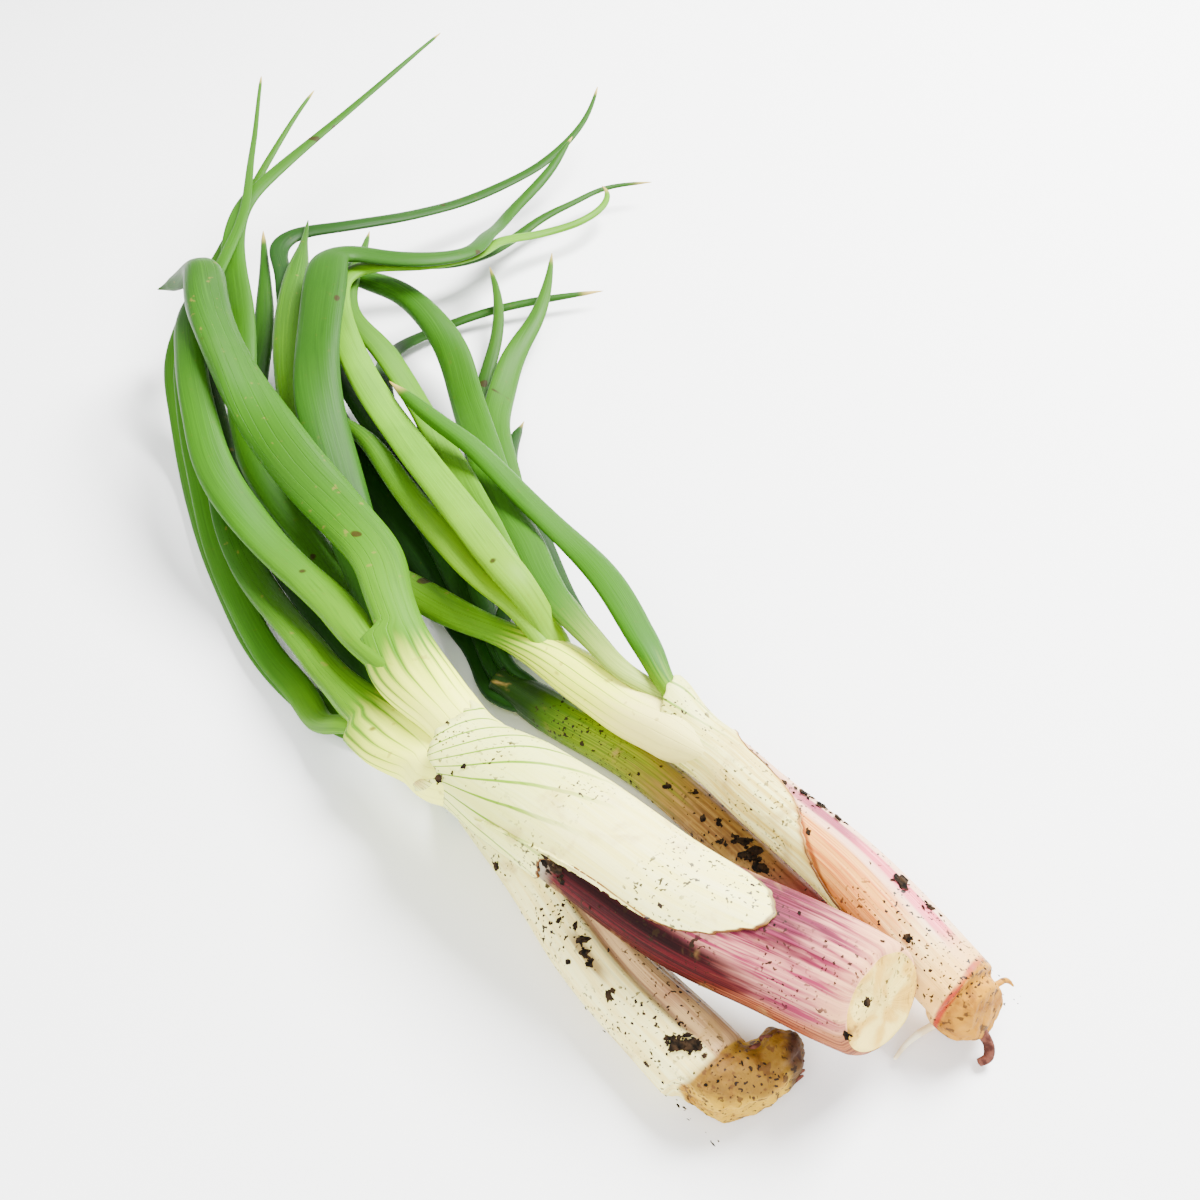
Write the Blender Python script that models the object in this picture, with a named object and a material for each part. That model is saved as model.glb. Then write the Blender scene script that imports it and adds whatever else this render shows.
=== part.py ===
"""A bunch of four spring onions, lying on a table with the leaves bent over to one side.

Each onion has a shank, which is its white lower sheaths wrapped round each other, with the trimmed root plate
at one end and an open mouth at the other. Leaves grow out of the mouths. Three leaves have a sheath of their
own first, with more leaves growing out of it. The pieces are laid one after another, each on the table or on
what lies below it, as the real bunch was put down. Routes are in millimetres as seen from above, with +Y
running from the roots to the tips, and the meshes are made in metres.
"""

import math
from dataclasses import dataclass, field

import bmesh
import bpy
import numpy as np
from mathutils import Vector

MM = 0.001

# How close pieces lie, and how finely the pile is measured
GAP = 0.35
FACET_ROOM = 0.3
CELL = 1.0
GRID_LOW = np.array([-210.0, 30.0])
GRID_SIZE = (330, 520)
STEP = 1.5
FINE_STEP = 0.5
LAY_SAMPLES = 15
PILE_SAMPLES = 31
PILE_FINENESS = 3

# How far a flat leaf tilts to lie against what is below it
MOST_TILT = 0.6
TILTS = 13
TILT_COST = 1.2
TILT_REACH = 8
TILT_FROM = 4.0
TILT_RUN = 16.0

# How leaves leave a mouth
SEAT_GAP = 1.0
SHOULDER = 0.25
RUN_OUT = 6.0
FREE_RUN = 8.0
FREE_RISE = 0.4
SETTLE = 13.0
SEAT_SHARE = 0.75
MOUTH_REACH = 6

# Cross-sections, as height over width
SHANK_FLAT = 0.8
LEAF_FLAT = 0.36
BASE_FLAT = 0.7
TIP_FLAT = 0.85
THINNEST = 0.4
BASE_RUN = 25.0
TIP_RUN = 60.0

# Springiness: how sharply a piece bends down past what it rests on, per millimetre
STIFF = 0.002
SHANK_BEND = 0.007
LEAF_BEND = 0.014
CREASED = 4.0
DRAPE_ROUNDS = 6
DRAPE_REACH = 3

# How the meshes are cut up
POLE = 0.4
TOP_LEAF_SIDES = 12
LEAF_SIDES = 8
SHANK_SIDES = 20
MOST_SAG = 0.2
NEAREST_RINGS = 3.5
FURTHEST_RINGS = 13.0
KNOB_SEGMENTS = (14, 9)
KNOB_ROUGHNESS = 0.06
ROOT_SIDES = 6
ROOT_POLE = 0.2

WHITE = (0.80, 0.77, 0.62)
GREEN = (0.16, 0.33, 0.05)
PALE_GREEN = (0.42, 0.52, 0.16)
SKIN_ROUGHNESS = 0.45
ROOT_ROUGHNESS = 0.6


@dataclass
class Piece:
    """One sheath or leaf. Each route row is x, y, the least height of its middle, and its width."""

    name: str
    mouth: str
    seat: tuple
    route: list
    flat: float = LEAF_FLAT
    bend: float = LEAF_BEND
    crease: int = 0
    is_sheath: bool = False
    grows_on: str = ""


@dataclass
class Mouth:
    """The open end of a sheath, from which leaves grow."""

    centre: np.ndarray
    forward: np.ndarray
    side: np.ndarray
    up: np.ndarray


@dataclass
class Laid:
    """Where a piece has come to lie."""

    along: np.ndarray
    centre: np.ndarray
    half_w: np.ndarray
    half_h: np.ndarray
    tilt: np.ndarray


@dataclass
class Bunch:
    """What has been laid so far: the height of each piece's top, the open mouths, and the pieces."""

    tops: dict = field(default_factory=dict)
    mouths: dict = field(default_factory=dict)
    laid: dict = field(default_factory=dict)


def unit(v):
    return v / np.maximum(np.linalg.norm(v, axis=-1, keepdims=True), 1e-9)


def smooth(values, reach):
    kernel = np.ones(2 * reach + 1) / (2 * reach + 1)
    return np.convolve(np.pad(values, reach, mode="edge"), kernel, mode="valid")


def curve_through(points, step):
    """A smooth curve through the points, sampled evenly as seen from above."""
    p = np.array(points, float)
    d = np.maximum(np.linalg.norm(np.diff(p[:, :2], axis=0), axis=1), 1e-6)
    slope = np.diff(p, axis=0) / d[:, None]
    m = np.empty_like(p)
    m[0], m[-1] = slope[0], slope[-1]
    m[1:-1] = (slope[:-1] * d[1:, None] + slope[1:] * d[:-1, None]) / (d[1:] + d[:-1])[:, None]
    pieces = []
    for i, length in enumerate(d):
        t = np.linspace(0, 1, max(2, int(length / FINE_STEP)) + 1)[:-1, None]
        from_start, lead_out = 2 * t**3 - 3 * t**2 + 1, t**3 - 2 * t**2 + t
        from_end, lead_in = -2 * t**3 + 3 * t**2, t**3 - t**2
        pulls = length * (lead_out * m[i] + lead_in * m[i + 1])
        pieces.append(from_start * p[i] + from_end * p[i + 1] + pulls)
    line = np.vstack([*pieces, p[-1:]])
    s = np.concatenate([[0], np.cumsum(np.linalg.norm(np.diff(line[:, :2], axis=0), axis=1))])
    even = np.linspace(0, s[-1], max(4, int(s[-1] / step)) + 1)
    return even, np.column_stack([np.interp(even, s, line[:, k]) for k in range(line.shape[1])])


def cell_of(xy):
    return np.clip(np.round((xy - GRID_LOW) / CELL).astype(int), 0, np.array(GRID_SIZE) - 1)


def top_under(bunch, xy, leave_out):
    """How high the pile reaches at each point, apart from one piece."""
    cells = cell_of(xy)
    top = np.zeros(len(xy))
    for name, grid in bunch.tops.items():
        if name != leave_out:
            top = np.maximum(top, grid[cells[:, 0], cells[:, 1]])
    return top


def add_to_pile(bunch, name, item, side):
    grid = np.zeros(GRID_SIZE)
    index = np.arange(len(item.centre))
    fine = np.linspace(0, len(index) - 1, len(index) * PILE_FINENESS)
    for across in np.linspace(-1, 1, PILE_SAMPLES):
        q = item.centre[:, :2] + side * (item.half_w * across)[:, None]
        domed = item.half_h * math.sqrt(1 - across * across)
        top = item.centre[:, 2] + domed + item.half_w * across * item.tilt
        q = np.column_stack([np.interp(fine, index, q[:, 0]), np.interp(fine, index, q[:, 1])])
        cells = cell_of(q)
        np.maximum.at(grid, (cells[:, 0], cells[:, 1]), np.interp(fine, index, top))
    wide = grid.copy()
    for shift in ((-1, 0), (1, 0), (0, -1), (0, 1)):
        wide = np.maximum(wide, np.roll(grid, shift, (0, 1)))
    bunch.tops[name] = wide


def draped(along, least, bend):
    """The height of a springy strip that passes over every point of least."""
    drop = 0.5 * bend * (along[:, None] - along[None, :]) ** 2
    z = (least[None, :] - drop).max(axis=1)
    for _ in range(DRAPE_ROUNDS):
        z = np.maximum(smooth(z, DRAPE_REACH), least)
    return z


def lay(bunch, piece):
    """Lays a piece on the pile, with its cross-section tilted to lie against what is below it."""
    points = [list(row) for row in piece.route]
    start = None
    if piece.mouth:
        mouth = bunch.mouths[piece.mouth]
        to_side, upward, seat_width = piece.seat
        start = mouth.centre + mouth.side * to_side + mouth.up * upward
        if piece.grows_on:
            start = start - mouth.forward * (SEAT_GAP - SHOULDER)
        ahead = start + mouth.forward * RUN_OUT
        first_width = SEAT_SHARE * seat_width + (1 - SEAT_SHARE) * points[0][3]
        points.insert(0, [ahead[0], ahead[1], 0, first_width])
        points.insert(0, [start[0], start[1], 0, seat_width])
    s, line = curve_through(points, STEP)
    heading = unit(np.gradient(line[:, :2], axis=0))
    side = np.column_stack([-heading[:, 1], heading[:, 0]])
    half_w = np.maximum(line[:, 3] / 2, THINNEST)
    end_flat = piece.flat if piece.is_sheath else TIP_FLAT
    flat = np.interp(s, [0, max(1.0, s[-1] - TIP_RUN), s[-1]], [piece.flat, piece.flat, end_flat])
    if piece.mouth and not piece.is_sheath:
        flat = np.maximum(flat, np.interp(s, [0, BASE_RUN], [BASE_FLAT, piece.flat]))
    half_h = np.maximum(half_w * flat, THINNEST)

    across = np.linspace(-1, 1, LAY_SAMPLES)
    spread = [line[:, :2] + side * (half_w * e)[:, None] for e in across]
    tops = np.array([top_under(bunch, xy, piece.mouth) for xy in spread])
    below = np.sqrt(1 - across**2)[:, None] * half_h[None, :]
    reach = across[:, None] * half_w[None, :]

    def height_needed(tilt):
        return (np.where(tops > 0, tops + GAP + FACET_ROOM, 0) + below - reach * tilt).max(axis=0)

    slopes = np.linspace(-MOST_TILT, MOST_TILT, TILTS)
    cost = np.array([height_needed(np.full(len(s), k)) + TILT_COST * abs(k) for k in slopes])
    tilt = np.zeros(len(s)) if piece.is_sheath else slopes[cost.argmin(axis=0)]
    tilt = smooth(smooth(tilt, TILT_REACH), TILT_REACH)
    tilt = tilt * np.clip((s - TILT_FROM) / TILT_RUN, 0, 1) * np.clip((s[-1] - s) / TILT_RUN, 0, 1)
    least = np.maximum(np.maximum(height_needed(tilt), half_h), line[:, 2])
    if start is not None:
        least = np.where(s < FREE_RUN, np.minimum(least, start[2] + FREE_RISE * s), least)
    slack = s.copy()
    if piece.crease:
        at = s[np.argmin(np.linalg.norm(line[:, :2] - piece.route[piece.crease][:2], axis=1))]
        slack = np.where(s > at, at + (s - at) * CREASED, s)
    z = draped(slack, least, piece.bend)
    if start is not None:
        ease = np.clip(s / SETTLE, 0, 1)
        ease = ease * ease * (3 - 2 * ease)
        rise = mouth.forward[2] / np.linalg.norm(mouth.forward[:2])
        z = np.maximum((start[2] + s * rise) * (1 - ease) + z * ease, half_h)

    item = Laid(s, np.column_stack([line[:, :2], z]), half_w, half_h, tilt)
    add_to_pile(bunch, piece.name, item, side)
    if piece.is_sheath:
        forward = unit(item.centre[-1] - item.centre[-MOUTH_REACH])
        mouth_side = unit(np.cross(forward, [0, 0, 1]))
        mouth_up = np.cross(mouth_side, forward)
        bunch.mouths[piece.name] = Mouth(item.centre[-1] + forward * SEAT_GAP, forward, mouth_side, mouth_up)
    bunch.laid[piece.name] = item


def stations(item):
    """Where the rings of a mesh go: closer together where the piece bends more."""
    t = unit(np.gradient(item.centre, axis=0))
    steps = np.linalg.norm(np.diff(item.centre, axis=0), axis=1)
    arc = np.concatenate([[0], np.cumsum(steps)])
    bend = np.linalg.norm(np.gradient(t, axis=0), axis=1) / np.maximum(np.gradient(arc), 1e-6)
    spacing = np.sqrt(8 * MOST_SAG / np.maximum(smooth(bend, 2), 1e-4))
    spacing = np.clip(spacing, NEAREST_RINGS, FURTHEST_RINGS)
    need = np.concatenate([[0], np.cumsum(steps / (0.5 * (spacing[1:] + spacing[:-1])))])
    count = max(5, math.ceil(need[-1]))
    return np.interp(np.linspace(0, need[-1], count + 1), need, arc), arc, t


def rings_of(item, sides):
    where, arc, tangent = stations(item)

    def at(values):
        return np.column_stack([np.interp(where, arc, values[:, k]) for k in range(values.shape[1])])

    centre = at(item.centre)
    t = unit(at(tangent))
    sizes = at(np.column_stack([item.half_w, item.half_h, item.tilt]))
    left = unit(np.column_stack([-t[:, 1], t[:, 0], np.zeros(len(t))]))
    side = unit(left + np.cross(t, left) * sizes[:, 2:3])
    up = unit(np.cross(t, side))
    angle = np.linspace(0, 2 * math.pi, sides, endpoint=False)[None, :, None]
    rings = (centre[:, None, :] + side[:, None, :] * np.cos(angle) * sizes[:, None, 0:1]
             + up[:, None, :] * np.sin(angle) * sizes[:, None, 1:2])
    return list(rings), centre[0] - t[0] * POLE, centre[-1] + t[-1] * POLE


def material(name, colour, roughness):
    made = bpy.data.materials.new(name)
    made.use_nodes = True
    shader = made.node_tree.nodes["Principled BSDF"]
    shader.inputs["Base Color"].default_value = (*colour, 1)
    shader.inputs["Roughness"].default_value = roughness
    shader.inputs["Metallic"].default_value = 0
    return made


def tube(name, rings, first_pole, last_pole, colour, roughness):
    """A closed tube through the rings, with a low point closing each end."""
    bm = bmesh.new()
    loops = [[bm.verts.new(Vector(p) * MM) for p in ring] for ring in rings]
    count = len(loops[0])
    for near, far in zip(loops, loops[1:]):
        for k in range(count):
            j = (k + 1) % count
            bm.faces.new((near[k], near[j], far[j], far[k]))
    first = bm.verts.new(Vector(first_pole) * MM)
    last = bm.verts.new(Vector(last_pole) * MM)
    for k in range(count):
        j = (k + 1) % count
        bm.faces.new((first, loops[0][j], loops[0][k]))
        bm.faces.new((last, loops[-1][k], loops[-1][j]))
    mesh = bpy.data.meshes.new(name)
    bm.to_mesh(mesh)
    bm.free()
    mesh.shade_smooth()
    thing = bpy.data.objects.new(name, mesh)
    bpy.context.collection.objects.link(thing)
    mesh.materials.append(material(name, colour, roughness))
    return thing


def grown_into(thing, extra):
    """Joins an extra solid to a piece that it grew as part of."""
    extra.hide_render = True
    extra.display_type = "WIRE"
    union = thing.modifiers.new("grown together", "BOOLEAN")
    union.operation = "UNION"
    union.object = extra


def root_plate(shank, name, centre, size, turn):
    """The rough knob of old root at a shank's end."""
    bm = bmesh.new()
    around, upward = KNOB_SEGMENTS
    bmesh.ops.create_uvsphere(bm, u_segments=around, v_segments=upward, radius=MM)
    mesh = bpy.data.meshes.new(name)
    bmesh.ops.scale(bm, vec=size, verts=bm.verts)
    for v in bm.verts:
        v.co *= 1 + KNOB_ROUGHNESS * math.sin(900 * v.co.x + 1) * math.cos(700 * (v.co.y + v.co.z))
    bm.to_mesh(mesh)
    bm.free()
    knob = bpy.data.objects.new(name, mesh)
    bpy.context.collection.objects.link(knob)
    knob.location = Vector(centre) * MM
    knob.rotation_euler.z = math.radians(turn)
    grown_into(shank, knob)


def root(shank, name, points, width):
    """A root or two were missed in trimming. A root tapers along its points to half its width."""
    p = np.array(points, float)
    t = unit(np.gradient(p, axis=0))
    side = unit(np.cross(t, [0.1, 0.2, 1.0]))
    up = np.cross(side, t)
    angle = np.linspace(0, 2 * math.pi, ROOT_SIDES, endpoint=False)[None, :, None]
    radius = np.linspace(width / 2, width / 4, len(p))[:, None, None]
    rings = p[:, None, :] - radius * (side[:, None, :] * np.cos(angle) - up[:, None, :] * np.sin(angle))
    first, last = p[0] - t[0] * ROOT_POLE, p[-1] + t[-1] * ROOT_POLE
    grown_into(shank, tube(name, list(rings), first, last, WHITE, ROOT_ROUGHNESS))


def sheath(name, route, mouth="", seat=None, bend=STIFF, flat=SHANK_FLAT):
    return Piece(name, mouth, seat, route, flat, bend, is_sheath=True)


# The two shanks that lie on the table, and their leaves
LOWER = [
    sheath("onion_b_shank", [(19, 84, 0, 13), (15, 88, 0, 15), (7, 96, 0, 15.5), (-2, 108, 0, 15),
                             (-9, 119, 0, 14), (-16, 129, 0, 13), (-22, 137, 0, 12)]),
    sheath("onion_d_shank", [(43, 110, 0, 9), (37, 116, 0, 9.5), (29, 126, 0, 9.5), (18, 139, 0, 9.5),
                             (6, 151, 0, 9.5), (-7, 160, 0, 9.5), (-17, 168, 0, 9.5)]),
    Piece("onion_b_leaf_1", "onion_b_shank", (-3.9, 0, 3.4), [
        (-36, 152, 0, 4.5), (-45, 157, 0, 5.5), (-54, 161, 0, 6.5), (-63, 168, 0, 6.5), (-70, 175, 0, 6.5),
        (-76, 183, 0, 7), (-89, 206, 0, 7), (-104, 239, 0, 7), (-114, 268, 5, 6), (-117, 279, 9, 6),
        (-117, 290, 13, 5.5), (-115, 304, 17, 5), (-111, 320, 21, 4), (-107, 346, 27, 3), (-95, 400, 38, 1)]),
    Piece("onion_b_leaf_2", "onion_b_shank", (-0.2, -0.8, 3.0), [
        (-34, 152, 0, 4.5), (-45, 169, 0, 7), (-61, 190, 0, 8), (-74, 208, 0, 8), (-85, 229, 0, 8),
        (-92, 252, 0, 8), (-94, 271, 7, 7), (-94, 287, 12, 6), (-96, 303, 16, 5), (-99, 320, 19, 3),
        (-103, 339, 20, 1)]),
    Piece("onion_b_leaf_3", "onion_b_shank", (3.6, 0.6, 3.4), [
        (-30, 151, 6, 5), (-36, 162, 5, 7), (-44, 179, 0, 8), (-59, 200, 0, 9), (-72, 218, 0, 9),
        (-85, 235, 8, 9), (-92, 253, 13, 8), (-96, 275, 18, 8), (-100, 294, 22, 8), (-105, 312, 26, 7),
        (-106, 336, 30, 5), (-96, 360, 33, 4), (-83, 386, 36, 3), (-57, 443, 41, 1)]),
    Piece("onion_d_leaf_1", "onion_d_shank", (-3.2, -0.6, 2.6), [
        (-26, 179, 0, 4.5), (-32, 190, 0, 7), (-37, 203, 0, 10), (-47, 219, 0, 10), (-57, 235, 0, 10),
        (-68, 253, 5, 9), (-78, 271, 12, 8), (-86, 292, 17, 7), (-92, 314, 20, 6), (-96, 330, 21, 5.5),
        (-93, 336, 21, 5.5), (-83, 341, 20, 5.5), (-63, 354, 16, 5.5), (-49, 369, 12, 5),
        (-35, 382, 13, 4.5), (-22, 394, 14, 4), (-12, 409, 16, 3), (-5, 426, 18, 2), (-1, 448, 20, 1)]),
    Piece("onion_d_leaf_2", "onion_d_shank", (-0.2, -1.2, 2.4), [
        (-25, 180, 0, 3.5), (-30, 194, 0, 6), (-39, 215, 4, 7), (-50, 238, 4, 7), (-61, 255, 10, 7),
        (-72, 276, 15, 7), (-78, 300, 16, 6.5), (-79, 319, 15, 6), (-73, 329, 15, 6), (-61, 332, 13, 6),
        (-49, 334, 11, 5.5), (-39, 342, 8, 5), (-29, 360, 5, 4), (-20, 373, 6, 3.5), (-8, 383, 8, 2.5),
        (2, 393, 8, 2), (17, 397, 8, 1)]),
    Piece("onion_d_leaf_3", "onion_d_shank", (2.6, -0.8, 2.4), [
        (-23, 180, 5, 3.5), (-27, 194, 6, 5), (-35, 218, 6, 5.5), (-46, 240, 7, 5.5), (-55, 256, 9, 5.5),
        (-59, 271, 9, 5.5), (-60, 288, 5, 5), (-57, 303, 0, 4.7), (-49, 311, 2, 4), (-37, 318, 4, 3.6),
        (-21, 324, 5, 3), (0, 330, 5, 1)]),
    Piece("onion_d_leaf_4", "onion_d_shank", (2.4, 2.2, 2.2), [
        (-20, 195, 7, 4), (-24, 221, 0, 5), (-29, 252, 0, 5), (-33, 271, 0, 5), (-33, 283, 0, 4.5),
        (-31, 295, 4, 4), (-30, 308, 6, 3.5), (-31, 322, 8, 2.5), (-34, 335, 10, 1)]),
]

# The shank on the right, which leans on the one below it, and its leaves
RIGHT = [
    sheath("onion_c_shank", [(61, 95, 0, 12.5), (58, 100, 0, 13.5), (52, 108, 0, 14), (47, 116, 0, 13.5),
                             (39, 126, 0, 13), (31, 135, 0, 12.5), (23, 145, 0, 12), (16, 151, 0, 12)],
           bend=SHANK_BEND),
    sheath("onion_c_upper_leaf", [(1, 159, 0, 9.2), (-5, 167, 0, 11), (-10, 173, 0, 11.6)], "onion_c_shank",
           (-2.3, 0.9, 6.4)),
    Piece("onion_c_leaf_1", "onion_c_shank", (4.8, -2.0, 1.8), [
        (6, 176, 0, 3), (0, 185, 0, 3.5), (-7, 199, 0, 4), (-15, 222, 0, 4.5), (-23, 242, 0, 4.5),
        (-24, 253, 0, 4), (-22, 261, 0, 3), (-21, 266, 0, 1)]),
    Piece("onion_c_leaf_2", "onion_c_shank", (2.2, -4.3, 1.8), [
        (4, 166, 7, 3), (-2, 176, 5, 3.5), (-9, 189, 6, 4.5), (-17, 209, 7, 6), (-23, 234, 5, 7.5),
        (-28, 260, 5, 8), (-27, 280, 0, 7.5), (-24, 296, 5, 6.5), (-19, 308, 7, 5), (-16, 323, 10, 3),
        (-15, 340, 12, 1)]),
    Piece("onion_c_leaf_3", "onion_c_shank", (3.8, 0.9, 3.6), [
        (6, 160, 16, 4.6), (1, 167, 16, 5), (-4, 174, 15, 5.6), (-11, 186, 14, 7), (-17, 205, 11, 8.5),
        (-25, 225, 9, 9.5), (-31, 248, 9, 9.5), (-37, 271, 7, 9.5), (-42, 288, 9, 9), (-49, 299, 14, 8.5),
        (-58, 309, 17, 8), (-67, 313, 18, 7), (-75, 316, 19, 4), (-81, 320, 19, 1)]),
    Piece("onion_c_upper_blade", "onion_c_upper_leaf", (-2.6, -0.4, 3.4), [
        (-24, 179, 11, 6.5), (-30, 183, 10, 7.5), (-39, 191, 8, 8), (-51, 204, 4, 8), (-63, 221, 0, 8),
        (-73, 238, 9, 8), (-80, 257, 15, 8), (-84, 276, 19, 8), (-86, 294, 22, 7.5), (-87, 313, 23, 6),
        (-88, 328, 23, 2), (-89, 340, 23, 1)], grows_on="onion_c_upper_leaf"),
    Piece("onion_c_leaf_4", "onion_c_upper_leaf", (1.5, -2.0, 2.2), [
        (-20, 192, 16, 6), (-28, 212, 13, 8), (-37, 235, 10, 8), (-46, 256, 10, 8), (-55, 272, 14, 7.5),
        (-62, 282, 17, 7), (-69, 290, 20, 6), (-71, 303, 22, 5), (-70, 319, 22, 3), (-70, 336, 21, 1)]),
    Piece("onion_c_leaf_5", "onion_c_upper_leaf", (-1.6, 2.0, 2.0), [
        (-24, 184, 18, 5), (-33, 198, 16, 6.5), (-44, 219, 11, 6.5), (-53, 234, 11, 6), (-59, 243, 12, 5),
        (-66, 250, 12, 3), (-71, 259, 12, 1)]),
    Piece("onion_c_leaf_6", "onion_c_upper_leaf", (1.4, 1.7, 3.0), [
        (-19, 184, 21, 7.5), (-24, 193, 21, 9), (-32, 208, 19, 9.5), (-42, 228, 15, 9.5),
        (-52, 246, 15, 9.5), (-59, 257, 17, 9), (-64, 267, 20, 8.5), (-68, 276, 22, 8), (-72, 290, 24, 7),
        (-72, 304, 25, 6.5), (-64, 310, 25, 6), (-52, 312, 23, 5.5), (-40, 320, 19, 4.5), (-28, 350, 9, 4),
        (-17, 360, 8, 3.5), (-6, 367, 9, 3), (1, 377, 9, 2.5), (3, 385, 9, 2), (1, 390, 9, 1)]),
    Piece("onion_c_leaf_7", "onion_c_shank", (3.2, 4.4, 2.4), [
        (11, 164, 18, 5.5), (8, 171, 17, 7), (4, 183, 16, 7.5), (-4, 199, 14, 7.5), (-14, 213, 14, 7),
        (-23, 225, 15, 6.5), (-31, 235, 16, 6), (-43, 246, 18, 5), (-49, 253, 18, 3.5), (-54, 259, 18, 1)],
        bend=0.006),
]

# The shank in front, which lies across the first one, and its leaves
FRONT = [
    sheath("onion_a_shank", [(47.4, 89.3, 0, 19.5), (38, 95, 0, 21.5), (27, 101, 0, 21.5), (16, 106, 0, 21.5),
                             (4, 115, 0, 21.5), (-7, 124, 0, 21.5), (-17, 132, 0, 21), (-24, 137, 0, 20.5)],
           bend=SHANK_BEND),
    sheath("onion_a_left_leaf", [(-34, 146, 0, 10), (-42, 152, 0, 11.5), (-48, 155, 0, 11.5)],
           "onion_a_shank", (-4.6, 0, 8.2), flat=0.75),
    sheath("onion_a_right_leaf", [(-34, 157, 0, 12.5), (-39, 162, 0, 13)], "onion_a_shank", (4.6, 0, 8.6),
           flat=0.75),
    Piece("onion_a_leaf_1", "onion_a_left_leaf", (-3.2, -0.8, 4.4), [
        (-64, 168, 0, 6.5), (-72, 177, 0, 6.5), (-79, 188, 0, 6.5), (-85, 199, 0, 6.5), (-92, 213, 6, 6.5),
        (-97, 226, 10, 6), (-102, 241, 14, 6), (-106, 255, 18, 5.5), (-109, 269, 22, 5),
        (-108, 284, 25, 4.5), (-106, 301, 28, 4), (-104, 326, 31, 3), (-110, 369, 31, 2),
        (-116, 417, 36, 1)]),
    Piece("onion_a_left_blade", "onion_a_left_leaf", (2.3, 0.4, 5.8), [
        (-60, 171, 11, 8.5), (-71, 186, 8, 8.5), (-80, 199, 7, 8.5), (-86, 210, 10, 8), (-90, 222, 14, 8),
        (-95, 240, 18, 7.5), (-100, 254, 21, 6.5), (-104, 267, 23, 4), (-105, 276, 24, 1)],
        grows_on="onion_a_left_leaf"),
    Piece("onion_a_leaf_2", "onion_a_right_leaf", (-1.4, -2.6, 3.6), [
        (-51, 193, 9, 10), (-58, 210, 11, 12), (-63, 225, 16, 12), (-68, 239, 20, 12), (-71, 251, 24, 12),
        (-73, 266, 27, 12), (-74, 282, 29, 12), (-75, 297, 31, 11.5), (-75, 307, 30, 9.5), (-71, 310, 29, 8),
        (-64, 309, 28, 7.5), (-57, 309, 27, 7.2), (-48, 311, 25, 6.8), (-40, 317, 23, 6), (-34, 343, 15, 5),
        (-29, 369, 11, 4.5), (-22, 382, 13, 4), (-15, 395, 15, 3), (-10, 409, 17, 1)], crease=8),
    Piece("onion_a_leaf_3", "onion_a_right_leaf", (-3.8, 1.0, 4.2), [
        (-55, 178, 17, 9), (-64, 189, 15, 10), (-76, 202, 15, 10), (-83, 210, 18, 9.5), (-90, 220, 21, 9),
        (-95, 232, 24, 8.5), (-100, 246, 26, 8), (-104, 260, 28, 7.5), (-108, 275, 28, 6),
        (-108, 288, 28, 3.5), (-106, 294, 28, 1)], flat=0.42),
    Piece("onion_a_right_blade", "onion_a_right_leaf", (2.8, 0.8, 6.6), [
        (-46, 186, 21, 11.5), (-59, 206, 19, 12.5), (-72, 222, 22, 13), (-83, 237, 27, 13),
        (-92, 253, 31, 12.5), (-100, 269, 33, 12), (-104, 282, 34, 11), (-106, 290, 35, 10),
        (-112, 295, 20, 8), (-118, 298, 10, 5), (-123, 299, 6, 2)],
        flat=0.42, crease=7, grows_on="onion_a_right_leaf"),
]

ROOT_PLATES = [
    ("onion_b_shank", (21, 82, 6.2), (9.0, 6.2, 6.1), 20),
    ("onion_b_shank", (28.5, 86, 6.0), (6.0, 4.6, 5.5), 50),
    ("onion_c_shank", (61.8, 95.4, 7.6), (6.6, 5.6, 6.4), 10),
]

ROOTS = [
    ("onion_c_shank", [(60, 94.5, 6), (56.8, 93.2, 4.6), (54, 92, 3.6), (51.8, 90.6, 2.5), (49.7, 88.5, 1.5)], 1.4),
    ("onion_c_shank", [(62.5, 93.5, 6), (64.8, 91.4, 4.6), (65.8, 90, 3), (65.6, 88.8, 1.8), (63.8, 88, 1.2)], 2.0),
    ("onion_c_shank", [(64.5, 96.5, 8.5), (67.8, 98.6, 8.5), (70, 99.6, 7.8), (71.6, 98.8, 6.8)], 1.4),
]


def sides_of(piece):
    if piece.name.endswith("_shank"):
        return SHANK_SIDES
    return TOP_LEAF_SIDES if piece.is_sheath else LEAF_SIDES


def colour_of(piece):
    if piece.name.endswith("_shank"):
        return WHITE
    return PALE_GREEN if piece.is_sheath else GREEN


def build_pieces(bunch, pieces):
    """Makes a solid of each piece. A blade that grows on a sheath shares its solid."""
    made = {}
    blades = {piece.grows_on: piece for piece in pieces if piece.grows_on}
    for piece in pieces:
        if piece.grows_on:
            continue
        rings, first, last = rings_of(bunch.laid[piece.name], sides_of(piece))
        if piece.name in blades:
            more, _, last = rings_of(bunch.laid[blades[piece.name].name], TOP_LEAF_SIDES)
            rings += more
        elif piece.is_sheath:
            last = rings[-1].mean(axis=0) - (last - rings[-1].mean(axis=0))
        made[piece.name] = tube(piece.name, rings, first, last, colour_of(piece), SKIN_ROUGHNESS)
    return made


def stand_on_origin():
    """Moves everything so that the bunch stands on z = 0 with its middle over the origin."""
    bpy.context.view_layer.update()
    shown = [o for o in bpy.data.objects if not o.hide_render]
    graph = bpy.context.evaluated_depsgraph_get()
    points = []
    for o in shown:
        mesh = o.evaluated_get(graph).to_mesh()
        points += [o.matrix_world @ v.co for v in mesh.vertices]
    box = np.array(points)
    low, high = box.min(axis=0), box.max(axis=0)
    shift = Vector(((low[0] + high[0]) / 2, (low[1] + high[1]) / 2, low[2]))
    for o in bpy.data.objects:
        o.location -= shift


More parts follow.
